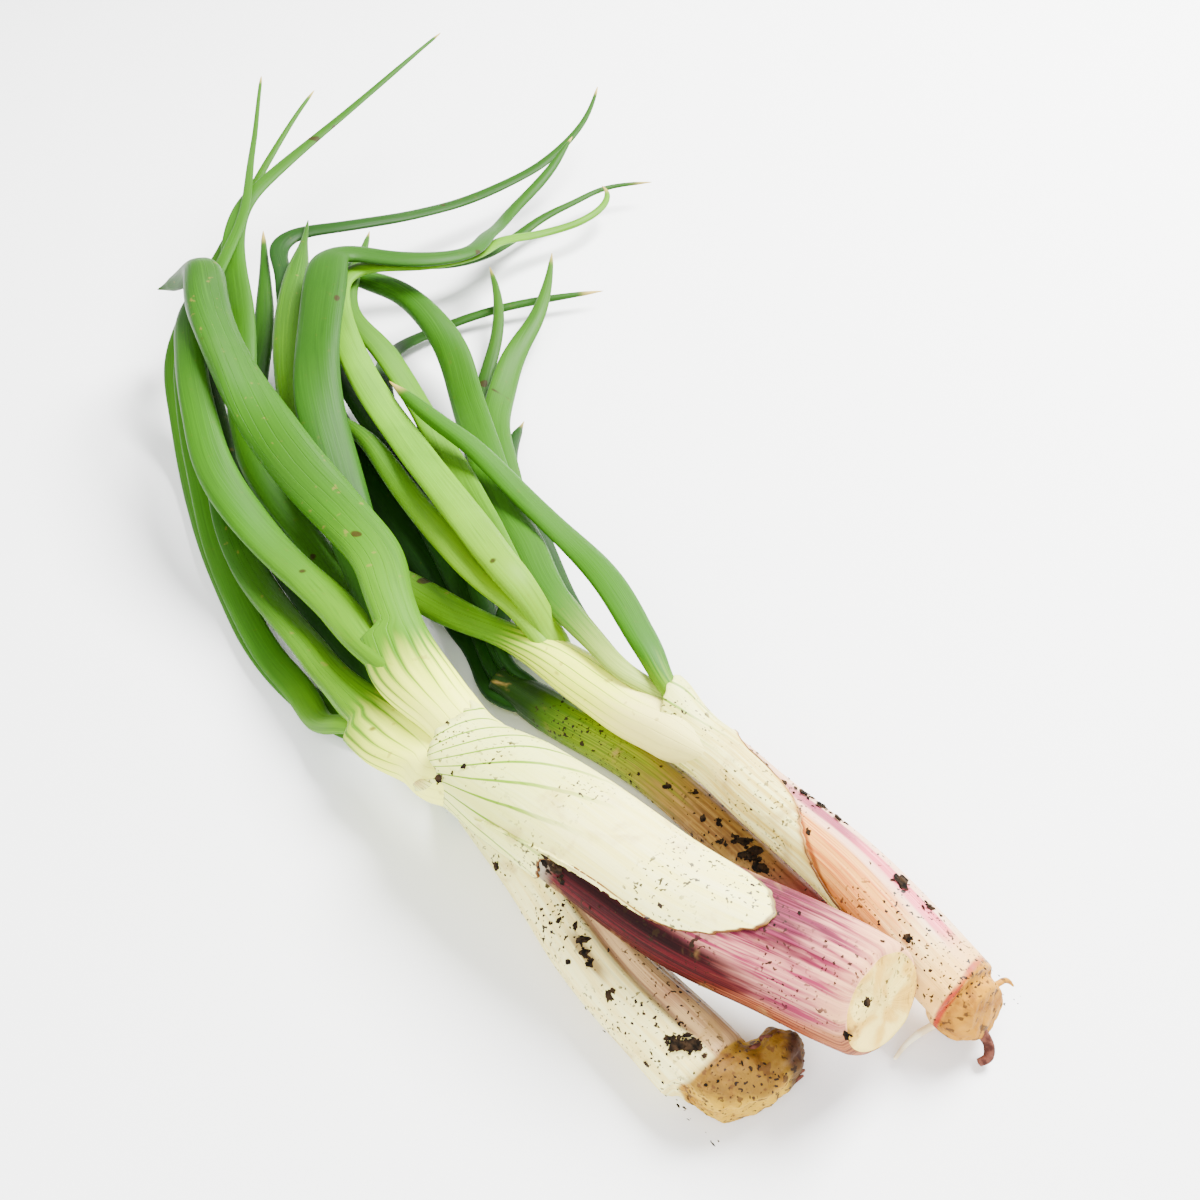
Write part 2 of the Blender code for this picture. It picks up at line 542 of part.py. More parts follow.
def main():
    for o in list(bpy.data.objects):
        bpy.data.objects.remove(o)
    pieces = LOWER + RIGHT + FRONT
    bunch = Bunch()
    for piece in pieces:
        lay(bunch, piece)
    made = build_pieces(bunch, pieces)
    for number, (shank, centre, size, turn) in enumerate(ROOT_PLATES):
        root_plate(made[shank], f"knob_{number}", centre, size, turn)
    for number, (shank, points, width) in enumerate(ROOTS):
        root(made[shank], f"root_{number}", points, width)
    stand_on_origin()


main()
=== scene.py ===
"""A bunch of four spring onions on a white table, dressed over its solids.

Each leaf, sheath and shank is made again at full detail, along the middle line of its own solid. A place on
its surface is a distance from the root end, in millimetres, and an angle round the middle line, in degrees.
"""
import math

import bpy
import numpy as np
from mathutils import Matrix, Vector


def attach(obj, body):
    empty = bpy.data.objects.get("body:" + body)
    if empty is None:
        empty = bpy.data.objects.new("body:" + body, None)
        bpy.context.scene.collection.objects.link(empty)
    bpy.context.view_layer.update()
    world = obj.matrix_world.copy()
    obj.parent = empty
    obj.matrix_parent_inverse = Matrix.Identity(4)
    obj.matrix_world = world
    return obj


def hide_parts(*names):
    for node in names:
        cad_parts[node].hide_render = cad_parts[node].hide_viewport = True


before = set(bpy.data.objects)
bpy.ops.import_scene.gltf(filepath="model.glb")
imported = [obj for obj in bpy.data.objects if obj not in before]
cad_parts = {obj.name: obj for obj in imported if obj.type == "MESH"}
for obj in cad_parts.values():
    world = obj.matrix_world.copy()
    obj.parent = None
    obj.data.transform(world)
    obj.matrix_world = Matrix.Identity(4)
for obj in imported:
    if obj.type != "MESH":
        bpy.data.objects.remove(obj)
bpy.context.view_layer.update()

MM = 0.001


# The table is a plain white surface under a large soft light from the back right, which leaves a faint shadow
# on the near left side of the bunch. The camera looks down at it by 45 degrees.

TABLE_SIZE = 6.0
TABLE_WHITE = (0.93, 0.935, 0.93, 1)
TABLE_ROUGHNESS = 0.6
ROOM_WHITE = (1, 1, 1, 1)
ROOM_STRENGTH = 1.15
CAMERA_PLACE = (25.77 * MM, -261.83 * MM, 200 * MM)
CAMERA_TILT = 45
CAMERA_LENS = 36
CAMERA_SENSOR = 36


def clear_selection():
    bpy.ops.object.select_all(action="DESELECT")


clear_selection()
bpy.ops.mesh.primitive_plane_add(size=TABLE_SIZE)
table = bpy.context.object
table.name = "table"
table_paint = bpy.data.materials.new("white table")
table_paint.use_nodes = True
table_shader = table_paint.node_tree.nodes["Principled BSDF"]
table_shader.inputs["Base Color"].default_value = TABLE_WHITE
table_shader.inputs["Roughness"].default_value = TABLE_ROUGHNESS
table.data.materials.append(table_paint)

camera_data = bpy.data.cameras.new("camera")
camera_data.sensor_width = CAMERA_SENSOR
camera_data.lens = CAMERA_LENS
camera_data.clip_start = 0.01
camera = bpy.data.objects.new("camera", camera_data)
camera.location = CAMERA_PLACE
camera.rotation_euler = (math.radians(CAMERA_TILT), 0, 0)
bpy.context.scene.collection.objects.link(camera)
bpy.context.scene.camera = camera


def soft_light(name, place, size, watts):
    """A square lamp that faces the middle of the bunch."""
    lamp_data = bpy.data.lights.new(name, "AREA")
    lamp_data.size = size
    lamp_data.energy = watts
    lamp = bpy.data.objects.new(name, lamp_data)
    lamp.location = place
    lamp.rotation_euler = (-Vector(place)).to_track_quat("-Z", "Y").to_euler()
    bpy.context.scene.collection.objects.link(lamp)


soft_light("key light", place=(0.45, 0.35, 0.75), size=0.5, watts=56)
soft_light("front light", place=(-0.2, -0.8, 0.7), size=0.8, watts=18)
world = bpy.data.worlds.new("white room")
world.use_nodes = True
world.node_tree.nodes["Background"].inputs["Color"].default_value = ROOM_WHITE
world.node_tree.nodes["Background"].inputs["Strength"].default_value = ROOM_STRENGTH
bpy.context.scene.world = world


# A leaf is a hollow tapering tube, pressed flat towards its tip, with fine lines along it. A waxy bloom hides
# its green where it has not been rubbed off. It is made along the middle line of its solid.

LINE_STEP = 2
FEWEST_POINTS = 12
WAVE_COUNT = 7
WELD = 1e-6


def unit(v):
    return v / np.maximum(np.linalg.norm(v, axis=-1, keepdims=True), 1e-12)


def eased(x, low, high):
    t = np.clip((np.asarray(x, float) - low) / (high - low), 0, 1)
    return t * t * (3 - 2 * t)


def curve_through(s, values, fine):
    """Values at fine, on a smooth curve through the values known at s."""
    h = np.diff(s)[:, None]
    slope = np.diff(values, axis=0) / h
    m = np.vstack([slope[:1], (slope[:-1] * h[1:] + slope[1:] * h[:-1]) / (h[1:] + h[:-1]), slope[-1:]])
    i = np.clip(np.searchsorted(s, fine) - 1, 0, len(s) - 2)
    t = ((fine - s[i]) / (s[i + 1] - s[i]))[:, None]
    return ((2 * t**3 - 3 * t**2 + 1) * values[i] + (t**3 - 2 * t**2 + t) * h[i] * m[i]
            + (3 * t**2 - 2 * t**3) * values[i + 1] + (t**3 - t**2) * h[i] * m[i + 1])


def rings_in(node, sides):
    """The rings of points along a solid, from the root end to the tip."""
    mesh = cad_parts[node].data
    points = np.array([v.co for v in mesh.vertices])
    points, same = np.unique(np.round(points, 6), axis=0, return_inverse=True)
    same = same.ravel()
    near = [set() for _ in points]
    for face in mesh.polygons:
        corners = [int(same[k]) for k in face.vertices]
        for k in corners:
            near[k].update(corners)
    best = []
    for pole in (k for k in range(len(points)) if len(near[k]) == sides + 1):
        seen, ring, rings = {pole}, near[pole] - {pole}, []
        while len(ring) == sides:
            rings.append(points[sorted(ring)])
            seen |= ring
            ring = set().union(*(near[k] for k in ring)) - seen
        if len(rings) > len(best):
            best = rings
    if best[0][:, 1].mean() > best[-1][:, 1].mean():
        best.reverse()
    return best


class Line:
    """A piece's middle line, with the two half widths of its section and their directions, in metres."""

    def __init__(self, rings):
        centre = np.array([ring.mean(axis=0) for ring in rings])
        tangent = unit(np.gradient(centre, axis=0))
        left = np.column_stack([-tangent[:, 1], tangent[:, 0], np.zeros(len(tangent))])
        side, half_w, half_h = [], [], []
        for ring, mid, towards in zip(rings, centre, left):
            _, sizes, axes = np.linalg.svd(ring - mid)
            sizes = sizes * math.sqrt(2 / len(ring))
            side.append(axes[0] * np.sign(axes[0] @ towards))
            half_w.append(sizes[0])
            half_h.append(sizes[1])
        self.s = np.concatenate([[0], np.cumsum(np.linalg.norm(np.diff(centre, axis=0), axis=1))])
        self.known = np.column_stack([centre, side, half_w, half_h])

    def calmed(self, reach, until=1.0):
        """The same line with its jogs smoothed over the reach, up to a distance from its start, in metres."""
        s = np.linspace(0, self.s[-1], max(FEWEST_POINTS, int(self.s[-1] / (LINE_STEP * MM))))
        values = curve_through(self.s, self.known, s)
        weight = np.exp(-0.5 * ((s[:, None] - s[None, :]) / reach) ** 2)
        mirrored = weight * (abs(s[:, None] - s[None, :]) <= np.minimum(s, s[-1] - s)[:, None] + 1e-9)
        calm = mirrored @ values / mirrored.sum(axis=1, keepdims=True)
        share = (1 - eased(s, until, until + 3 * reach))[:, None]
        self.known, self.s = values * (1 - share) + calm * share, s
        return self

    def stretched(self, before, after):
        """The same line, run on straight for some way before its start and after its end."""
        first = self.known[0] - (self.known[1] - self.known[0]) / (self.s[1] - self.s[0]) * before
        last = self.known[-1] + (self.known[-1] - self.known[-2]) / (self.s[-1] - self.s[-2]) * after
        first[3:], last[3:] = self.known[0, 3:], self.known[-1, 3:]
        self.known = np.vstack([first, self.known, last])
        self.s = np.concatenate([[-before], self.s, [self.s[-1] + after]])
        return self

    def at(self, s):
        """The middle, the directions to the side and up, and the half width and height, at distances s."""
        values = curve_through(self.s, self.known, np.asarray(s, float))
        centre = values[:, 0:3]
        tangent = unit(np.gradient(centre, axis=0))
        side = unit(values[:, 3:6] - tangent * (values[:, 3:6] * tangent).sum(axis=1, keepdims=True))
        return centre, side, np.cross(tangent, side), values[:, 6], values[:, 7]


def waves(seed, *axes):
    """A smooth random pattern from about -1 to 1. The coordinates are given in waves, or as rows of three."""
    draw = np.random.default_rng(seed)
    if len(axes) == 1 and np.shape(axes[0])[-1:] == (3,) and np.ndim(axes[0]) > 1:
        axes = np.moveaxis(axes[0], -1, 0)
    total = 0.0
    for _ in range(WAVE_COUNT):
        phase = draw.uniform(0, 2 * math.pi)
        total = total + np.sin(sum(a * draw.uniform(-1, 1) for a in axes) * 2 * math.pi + phase)
    return total * 2 / WAVE_COUNT


def skin_from(name, s, angle, points, closed=True):
    """A mesh over a grid of points, with a row for each distance s and a column for each angle."""
    clear_selection()
    rows, columns = points.shape[:2]
    bpy.ops.mesh.primitive_grid_add(x_subdivisions=columns - 1, y_subdivisions=rows - 1, size=1)
    piece = bpy.context.object
    piece.name = piece.data.name = name
    mesh = piece.data
    mesh.vertices.foreach_set("co", points.reshape(-1, 3).astype(np.float32).ravel())
    around = np.broadcast_to(np.radians(angle), (rows, columns))
    along = np.broadcast_to(np.asarray(s, float).reshape(rows, -1), (rows, columns))
    flow = np.stack([np.cos(around), np.sin(around), along], axis=2)
    skin = mesh.attributes.new("skin", "FLOAT_VECTOR", "POINT")
    skin.data.foreach_set("vector", flow.astype(np.float32).ravel())
    bpy.ops.object.mode_set(mode="EDIT")
    bpy.ops.mesh.select_all(action="SELECT")
    bpy.ops.mesh.remove_doubles(threshold=WELD)
    if closed:
        bpy.ops.mesh.normals_make_consistent(inside=False)
    bpy.ops.object.mode_set(mode="OBJECT")
    bpy.ops.object.shade_smooth()
    return piece


LEAF_SOLID_SIDES = 8
LEAF_COLUMNS = 28
ROW_STEP = 0.8
LEAF_HOLD = 7
LEAF_CALM = 4
LEAF_BASE_SHARE = 0.7
LEAF_BASE_RISE = 0.15
LEAF_BASE_RUN = 22
LEAF_TIP_RUN = 6
PAST_TIP = 1.2
SHEATH_CALMED = 40
SHEATH_THINS = (30 * MM, 60 * MM)
MOUTH_SOFT = 1.3
OFF_TABLE = 0.02 * MM


def leaf_sizes(line, s, hold, base_share, swell):
    """Half the width and height of a leaf at distances s, not pinched where it comes out of its sheath."""
    _, _, _, half_w, half_h = line.at(s)
    _, _, _, run_w, run_h = line.at([(LEAF_BASE_RUN - 1) * MM, LEAF_BASE_RUN * MM])
    before = s < LEAF_BASE_RUN * MM
    grown = eased(s, 0, LEAF_BASE_RUN * MM)
    wide = run_w[1] * (base_share + (1 - base_share) * grown)
    high = run_h[1] * (1 + LEAF_BASE_RISE * (1 - grown))
    half_w = np.where(before, np.maximum(half_w, wide), half_w)
    half_h = np.where(before, np.maximum(half_h, high), half_h)
    sheath = swell * MM * (1 - eased(s, *SHEATH_THINS))
    inside = 0.5 + 0.5 * eased(s, -hold * MM, 0)
    return (half_w + sheath) * inside, (half_h + sheath * 0.6) * inside


def leaf_skin(node, sides, seed, hold, base_share, calm=LEAF_CALM, swell=0.0, flare=None):
    """A leaf along its solid, and its length in mm. It runs on down inside its sheath by hold.

    Swell is how much thicker its own sheath is. Flare is where the mouth of that sheath starts to open, is
    open and ends, and how far it stands out and down, all in mm.
    """
    line = Line(rings_in(node, sides)).calmed(LEAF_CALM * MM)
    length = line.s[-1]
    if calm > LEAF_CALM:
        line.calmed(calm * MM, SHEATH_CALMED * MM)
    line.stretched(hold * MM, PAST_TIP * MM)
    count = int((length / MM + hold) / ROW_STEP)
    s = np.linspace(-hold * MM, length + PAST_TIP * MM, count)
    centre, side, up, _, _ = line.at(s)
    half_w, half_h = leaf_sizes(line, s, hold, base_share, swell)
    tip = np.sqrt(np.clip((s[-1] - s) / (LEAF_TIP_RUN * MM), 0, 1))
    mm = s / MM
    half_w = half_w * tip * (1 + 0.02 * waves(seed, mm / 40))
    half_h = half_h * tip * (1 + 0.05 * waves(seed + 1, mm / 24))
    angle = np.linspace(-90, 270, LEAF_COLUMNS + 1)
    a = np.radians(angle)[None, :]
    dent = 1 + 0.025 * waves(seed + 2, mm[:, None] / 30, np.cos(a), np.sin(a))
    across = np.cos(a) * np.abs(np.cos(a)) ** -0.12 * half_w[:, None] * dent
    upward = np.sin(a) * half_h[:, None] * dent
    if flare:
        start, full, end, out, drop = flare
        end = end + 0.8 * np.sin(a * 2 + 1) + 0.4 * waves(seed + 3, np.cos(a) * 2, np.sin(a) * 2)
        open_share = eased(mm, start, full)[:, None] * (1 - eased(mm[:, None] - end, -MOUTH_SOFT, MOUTH_SOFT))
        aside = open_share * MM * np.maximum(np.cos(a), 0)
        across = across + aside * out
        upward = upward - aside * drop
    points = centre[:, None] + side[:, None] * across[..., None] + up[:, None] * upward[..., None]
    points[0], points[-1] = centre[0], centre[-1]
    points[:, :, 2] = np.maximum(points[:, :, 2], OFF_TABLE)
    return skin_from(node + "_skin", mm, angle, points), length / MM


class Worth:
    """A shader socket whose maths is written as an ordinary expression."""

    def __init__(self, tree, socket):
        self.tree = tree
        self.socket = socket

    def math(self, operation, *others):
        node = self.tree.nodes.new("ShaderNodeMath")
        node.operation = operation
        for slot, value in zip(node.inputs, (self, *others)):
            feed(self.tree, slot, value)
        return Worth(self.tree, node.outputs[0])

    def __add__(self, other):
        return self.math("ADD", other)

    def __sub__(self, other):
        return self.math("SUBTRACT", other)

    def __mul__(self, other):
        return self.math("MULTIPLY", other)

    def __rsub__(self, other):
        return self.math("MULTIPLY", -1) + other

    __radd__ = __add__
    __rmul__ = __mul__

    def rise(self, low, high):
        """0 below low, 1 above high, and smooth between them."""
        node = self.tree.nodes.new("ShaderNodeMapRange")
        node.interpolation_type = "SMOOTHSTEP"
        for slot, value in zip(node.inputs, (self, low, high, 0, 1)):
            feed(self.tree, slot, value)
        return Worth(self.tree, node.outputs[0])

    def near(self, at, full, none):
        """1 within full of a value, 0 further from it than none, and smooth between them."""
        return 1 - (self - at).math("ABSOLUTE").rise(full, none)


def feed(tree, slot, value):
    if isinstance(value, Worth):
        tree.links.new(value.socket, slot)
    elif isinstance(value, tuple) and len(value) == 3 and len(slot.default_value) == 4:
        slot.default_value = (*value, 1)
    else:
        slot.default_value = value


class Finish:
    """A material, whose nodes are made one call at a time."""

    def __init__(self, name):
        self.material = bpy.data.materials.new(name)
        self.material.use_nodes = True
        self.tree = self.material.node_tree
        self.shader = self.tree.nodes["Principled BSDF"]

    def node(self, kind, settings, sockets, output=0):
        made = self.tree.nodes.new(kind)
        for key, value in settings.items():
            setattr(made, key, value)
        for key, value in sockets.items():
            feed(self.tree, made.inputs[key], value)
        return Worth(self.tree, made.outputs[output])

    def skin(self):
        """Around (cosine, sine) and along (mm) the piece."""
        return self.node("ShaderNodeAttribute", {"attribute_name": "skin"}, {}, "Vector")

    def place(self):
        return self.node("ShaderNodeTexCoord", {}, {}, "Object")

    def part(self, vector, axis):
        return self.node("ShaderNodeSeparateXYZ", {}, {0: vector}, axis)

    def sized(self, vector, scale):
        return self.node("ShaderNodeVectorMath", {"operation": "MULTIPLY"}, {0: vector, 1: scale})

    def turn(self, skin):
        """The angle round the piece, in radians."""
        return self.part(skin, "Y").math("ARCTAN2", self.part(skin, "X"))

    def cloud(self, vector, scale, detail, twist=0.0):
        sockets = {"Vector": vector, "Scale": scale, "Detail": detail, "Distortion": twist}
        return self.node("ShaderNodeTexNoise", {}, sockets)

    def mix(self, share, first, second):
        return self.node("ShaderNodeMix", {"data_type": "RGBA"}, {0: share, 6: first, 7: second}, 2)

    def done(self, colour, roughness, height=None, depth=0.1, soak=0.0, gloss=0.5):
        """The finished material. Depth is how high its relief stands, in mm."""
        feed(self.tree, self.shader.inputs["Base Color"], colour)
        feed(self.tree, self.shader.inputs["Roughness"], roughness)
        self.shader.inputs["Specular IOR Level"].default_value = gloss
        if soak:
            self.shader.inputs["Subsurface Weight"].default_value = soak
            self.shader.inputs["Subsurface Radius"].default_value = (0.004, 0.005, 0.002)
            self.shader.inputs["Subsurface Scale"].default_value = 0.5
        if height is not None:
            relief = {"Height": height, "Strength": 1.0, "Distance": depth * MM}
            bump = self.node("ShaderNodeBump", {}, relief)
            feed(self.tree, self.shader.inputs["Normal"], bump)
        return self.material


BLOOM = (0.032, 0.100, 0.006)
DRIED = (0.45, 0.32, 0.08)
STREAKS = (5.0, 5.0, 0.05)
LINES = (16.0, 16.0, 0.03)


def shade(colour, share):
    return tuple(share * c for c in colour)


class LeafPaint(Finish):
    """A finish with the streaks, the lines and the bloom that all leaves have."""

    def __init__(self, name):
        super().__init__(name)
        self.surface, self.at = self.skin(), self.place()
        self.mm = self.part(self.surface, "Z")
        self.streak = self.cloud(self.sized(self.surface, STREAKS), 1.0, 2.0)
        self.line = self.cloud(self.sized(self.surface, LINES), 1.0, 1.0)
        self.patch = self.cloud(self.at, 45.0, 3.0, 0.4)

    def streaked(self, colour, green, dark, dark_share, pale_share):
        """A colour with darker streaks and paler lines of a green."""
        colour = self.mix((1 - self.streak.rise(0.3, 0.5)) * dark_share, colour, shade(green, dark))
        return self.mix(self.line.rise(0.52, 0.68) * pale_share, colour, shade(green, 1.5))

    def bloomed(self, colour, amount, first, full):
        """A colour under the bloom, which is thicker on the upper side."""
        upper = 0.35 + self.part(self.surface, "Y").rise(-0.4, 0.9) * 0.65
        share = self.patch.rise(0.35, 0.7) * upper * amount * self.mm.rise(first, full)
        return self.mix(share, colour, BLOOM)


def leaf_finish(name, length, base, middle, tip, bloom, base_run, dry):
    """Green that starts paler at the base, with a few blemishes and a dried tip."""
    f = LeafPaint(name)
    colour = f.mix((f.mm + (f.streak - 0.5) * 30).rise(0, base_run), base, middle)
    colour = f.mix(f.mm.rise(length * 0.45, length), colour, tip)
    colour = f.streaked(colour, middle, 0.55, 0.45, 0.35)
    colour = f.bloomed(colour, bloom, 10, 45)
    fine = f.cloud(f.at, 420.0, 2.0)
    colour = f.mix(fine.rise(0.66, 0.74) * 0.125, colour, (0.12, 0.09, 0.01))
    mark = f.cloud(f.at, 130.0, 1.0)
    colour = f.mix(mark.rise(0.765, 0.79) * 0.9, colour, (0.022, 0.012, 0.001))
    colour = f.mix((f.mm + (f.patch - 0.5) * 14).rise(length - dry, length), colour, DRIED)
    height = f.streak * 0.5 + f.line * 0.35
    return f.done(colour, 0.42 + f.patch * 0.16, height, 0.14, soak=0.04, gloss=0.12)


def finish_piece(piece, material, slot, *nodes):
    piece.data.materials.clear()
    piece.data.materials.append(material)
    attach(piece, "root")
    if nodes:
        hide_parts(*nodes)


GREEN = (0.014, 0.068, 0.001)
# A dark leaf green, partly painted shade: leaves that lie in shadow under the others are given it.
DARK_AND_SHADED_GREEN = (0.005, 0.032, 0.001)
BRIGHT = (0.095, 0.26, 0.001)
FRESH = (0.025, 0.105, 0.001)
BLUISH = (0.011, 0.055, 0.001)
PALE_TIP = (0.026, 0.095, 0.002)
YELLOW = (0.14, 0.28, 0.001)
YELLOW_GREEN = (0.080, 0.21, 0.001)
WHITISH = (0.40, 0.50, 0.08)
SUNNY = (0.065, 0.19, 0.001)

# name, seed, base colour, colour along, colour at the tip, bloom, base run in mm, dry tip in mm, slot
LEAVES = [
    ("onion_b_leaf_1", 11, YELLOW_GREEN, FRESH, PALE_TIP, 0.45, 60, 6, "pale_leaf"),
    ("onion_b_leaf_2", 12, FRESH, DARK_AND_SHADED_GREEN, GREEN, 0.25, 30, 8, "leaf"),
    ("onion_b_leaf_3", 13, YELLOW_GREEN, FRESH, GREEN, 0.45, 60, 4, "leaf"),
    # The lower onion's leaves are painted this dark green from their bases. It stands in for the shade they
    # start in, under the other onions.
    ("onion_d_leaf_1", 14, DARK_AND_SHADED_GREEN, DARK_AND_SHADED_GREEN, GREEN, 0.05, 25, 7, "dark_leaf"),
    ("onion_d_leaf_2", 15, DARK_AND_SHADED_GREEN, DARK_AND_SHADED_GREEN, GREEN, 0.2, 25, 10, "leaf"),
    ("onion_d_leaf_3", 16, DARK_AND_SHADED_GREEN, DARK_AND_SHADED_GREEN, GREEN, 0.2, 25, 9, "leaf"),
    ("onion_d_leaf_4", 17, DARK_AND_SHADED_GREEN, DARK_AND_SHADED_GREEN, PALE_TIP, 0.3, 25, 7, "leaf"),
    ("onion_c_leaf_1", 18, YELLOW_GREEN, DARK_AND_SHADED_GREEN, DARK_AND_SHADED_GREEN, 0.2, 20, 4, "dark_leaf"),
    ("onion_c_leaf_2", 19, WHITISH, FRESH, PALE_TIP, 0.5, 60, 8, "leaf"),
    ("onion_c_leaf_3", 20, WHITISH, FRESH, GREEN, 0.35, 45, 4, "bright_leaf"),
    ("onion_c_leaf_4", 21, YELLOW_GREEN, SUNNY, GREEN, 0.35, 40, 6, "leaf"),
    ("onion_c_leaf_5", 22, YELLOW, SUNNY, GREEN, 0.3, 75, 3, "leaf"),
    ("onion_c_leaf_6", 23, YELLOW, BRIGHT, SUNNY, 0.3, 75, 8, "bright_leaf"),
    ("onion_c_leaf_7", 24, YELLOW, FRESH, FRESH, 0.3, 14, 8, "dark_leaf"),
    ("onion_a_leaf_1", 25, YELLOW_GREEN, FRESH, PALE_TIP, 0.3, 40, 8, "pale_leaf"),
    ("onion_a_leaf_2", 26, FRESH, GREEN, GREEN, 0.15, 30, 4, "leaf"),
    ("onion_a_leaf_3", 27, YELLOW_GREEN, FRESH, BLUISH, 0.35, 70, 4, "leaf"),
]

# The outer leaf of the right onion is narrow where it comes out of the mouth of its sheath.
OUTER_LEAF = "onion_c_leaf_7"
OUTER_HOLD = 1
OUTER_BASE_SHARE = 0.5

for node, seed, base, middle, tip, bloom, base_run, dry, slot in LEAVES:
    hold, share = (OUTER_HOLD, OUTER_BASE_SHARE) if node == OUTER_LEAF else (LEAF_HOLD, LEAF_BASE_SHARE)
    piece, length = leaf_skin(node, LEAF_SOLID_SIDES, seed, hold, share)
    finish_piece(piece, leaf_finish(node, length, base, middle, tip, bloom, base_run, dry), slot, node)


# Three leaves still have their own sheath: a white tube with green veins, which goes over into the blade. On
# the front onion, more leaves come out of its mouth.

VEINS = 17
VEIN_GREEN = (0.17, 0.34, 0.003)


def sheathed_finish(name, length, sheath_end, start, base, middle, tip, bloom):
    """A white sheath whose veins run on into a green blade."""
    f = LeafPaint(name)
    mm, streak, patch = f.mm, f.streak, f.patch
    wander = (f.cloud(f.sized(f.surface, (1.0, 1.0, 0.05)), 1.5, 1.0) - 0.5) * 2.2
    wave = (f.turn(f.surface) * VEINS + wander).math("SINE")
    vein = wave.rise(0.90, 0.995)
    blade = (mm + wave.rise(0.0, 1.0) * 5 + (streak - 0.5) * 8).rise(sheath_end - 9, sheath_end + 9)
    colour = f.mix(streak.rise(0.3, 0.7) * 0.5, (0.92, 0.97, 0.09), (0.68, 0.82, 0.02))
    join = (mm + (streak - 0.5) * 14 + (patch - 0.5) * 10).rise(1, 20)
    colour = f.mix(join, start, colour)
    colour = f.mix(vein * join * (0.6 + mm.rise(0, sheath_end) * 0.4), colour, VEIN_GREEN)
    colour = f.mix(mm.rise(sheath_end * 0.3, sheath_end + 4) * 0.35, colour, (0.34, 0.52, 0.01))
    green = f.mix((mm + (streak - 0.5) * 20).rise(sheath_end + 4, sheath_end + 70), base, middle)
    green = f.mix(mm.rise(length * 0.5, length), green, tip)
    green = f.streaked(green, middle, 0.6, 0.4, 0.3)
    green = f.bloomed(green, bloom, sheath_end + 20, sheath_end + 60)
    colour = f.mix(blade, colour, green)
    fine = f.cloud(f.at, 380.0, 2.0)
    colour = f.mix(fine.rise(0.66, 0.74) * 0.4, colour, (0.22, 0.15, 0.03))
    mark = f.cloud(f.at, 130.0, 1.0)
    colour = f.mix(mark.rise(0.745, 0.775) * 0.9, colour, (0.030, 0.014, 0.001))
    height = streak * 0.5 + f.line * 0.3 - vein * 0.5
    return f.done(colour, 0.36 + patch * 0.2, height, 0.14, soak=0.06, gloss=0.14)


SHEATHED_SOLID_SIDES = 12
SHEATHED_HOLD = 12
SHEATHED_CALM = 9
WHITE_START = (0.93, 0.96, 0.16)
CREAM_START = (0.86, 0.78, 0.24)

# name, seed, end of the sheath in mm, swell, flare, base colour, colour along, colour at the tip, bloom
SHEATHED = [
    ("onion_c_upper_leaf", 31, 40, 0.7, None, YELLOW_GREEN, SUNNY, GREEN, 0.3),
    ("onion_a_left_leaf", 32, 28, 0.3, (4, 24, 31, 2.9, 0.6), YELLOW_GREEN, GREEN, BLUISH, 0.5),
    ("onion_a_right_leaf", 33, 25, 0.3, (6, 28, 36, 4.0, 1.2), SUNNY, FRESH, BLUISH, 0.5),
]

for node, seed, sheath_end, swell, flare, base, middle, tip, bloom in SHEATHED:
    piece, length = leaf_skin(node, SHEATHED_SOLID_SIDES, seed, SHEATHED_HOLD, 1.0, SHEATHED_CALM, swell,
                              flare)
    start = WHITE_START if flare else CREAM_START
    paint = sheathed_finish(node, length, sheath_end, start, base, middle, tip, bloom)
    finish_piece(piece, paint, "sheathed_leaf", node)


# A shank is the white lower part of the onion, sheath wrapped round sheath. The outer skins are purple, pink
# and brown, and split and torn by the washing. The root end is cut off square, or keeps its woody root plate.

SHANK_SOLID_SIDES = 20
SHANK_CALM = 3
SHANK_SPARE = 14
SHANK_STEP = 0.5
SHANK_ROW_STEP = 0.6
SHANK_COLUMNS = 96
FACE_SHARES = (0.0, 0.2, 0.4, 0.6, 0.78, 0.9, 0.97)
FACE_RELIEF = 0.3
FACE_MM = -4.0


class Shank:
    """The surface of a shank, whose distances start at the place of its root, in mm."""

    def __init__(self, node, root):
        line = Line(rings_in(node, SHANK_SOLID_SIDES)).calmed(SHANK_CALM * MM)
        ahead = unit(line.known[1, :2] - line.known[0, :2])
        start = (line.known[0, :2] / MM - root) @ ahead
        self.length = line.s[-1] / MM + start
        line.stretched((max(start, 0) + SHANK_SPARE) * MM, SHANK_SPARE * MM)
        self.s = np.arange(1 - SHANK_SPARE, self.length + SHANK_SPARE - 1, SHANK_STEP)
        self.table = np.column_stack(line.at((self.s - start) * MM))

    def spot(self, mm, angle, lift, swell=1.0):
        """Points at some distances and angles, lifted off the surface by lift mm."""
        row = np.column_stack([np.interp(np.ravel(mm), self.s, column) for column in self.table.T])
        a = np.radians(np.ravel(np.broadcast_to(angle, np.shape(mm))))
        lift = np.ravel(np.broadcast_to(lift, np.shape(mm))) * MM
        swell = np.ravel(np.broadcast_to(swell, np.shape(mm)))
        across = np.cos(a) * (row[:, 9] * swell + lift)
        upward = np.sin(a) * (row[:, 10] * swell + lift)
        points = row[:, 0:3] + row[:, 3:6] * across[:, None] + row[:, 6:9] * upward[:, None]
        return points.reshape(*np.shape(mm), 3)

    def place_of(self, points):
        """The distance along (mm) and the angle round (degrees) of some points near the surface."""
        centre, side, up = self.table[:, 0:3], self.table[:, 3:6], self.table[:, 6:9]
        near = np.argmin(((points[:, None] - centre[None]) ** 2).sum(axis=2), axis=1)
        out = points - centre[near]
        ahead = (out * np.cross(side[near], up[near])).sum(axis=1)
        across = (out * side[near]).sum(axis=1) / self.table[near, 9]
        upward = (out * up[near]).sum(axis=1) / self.table[near, 10]
        return self.s[near] + ahead / MM, np.degrees(np.arctan2(upward, across))


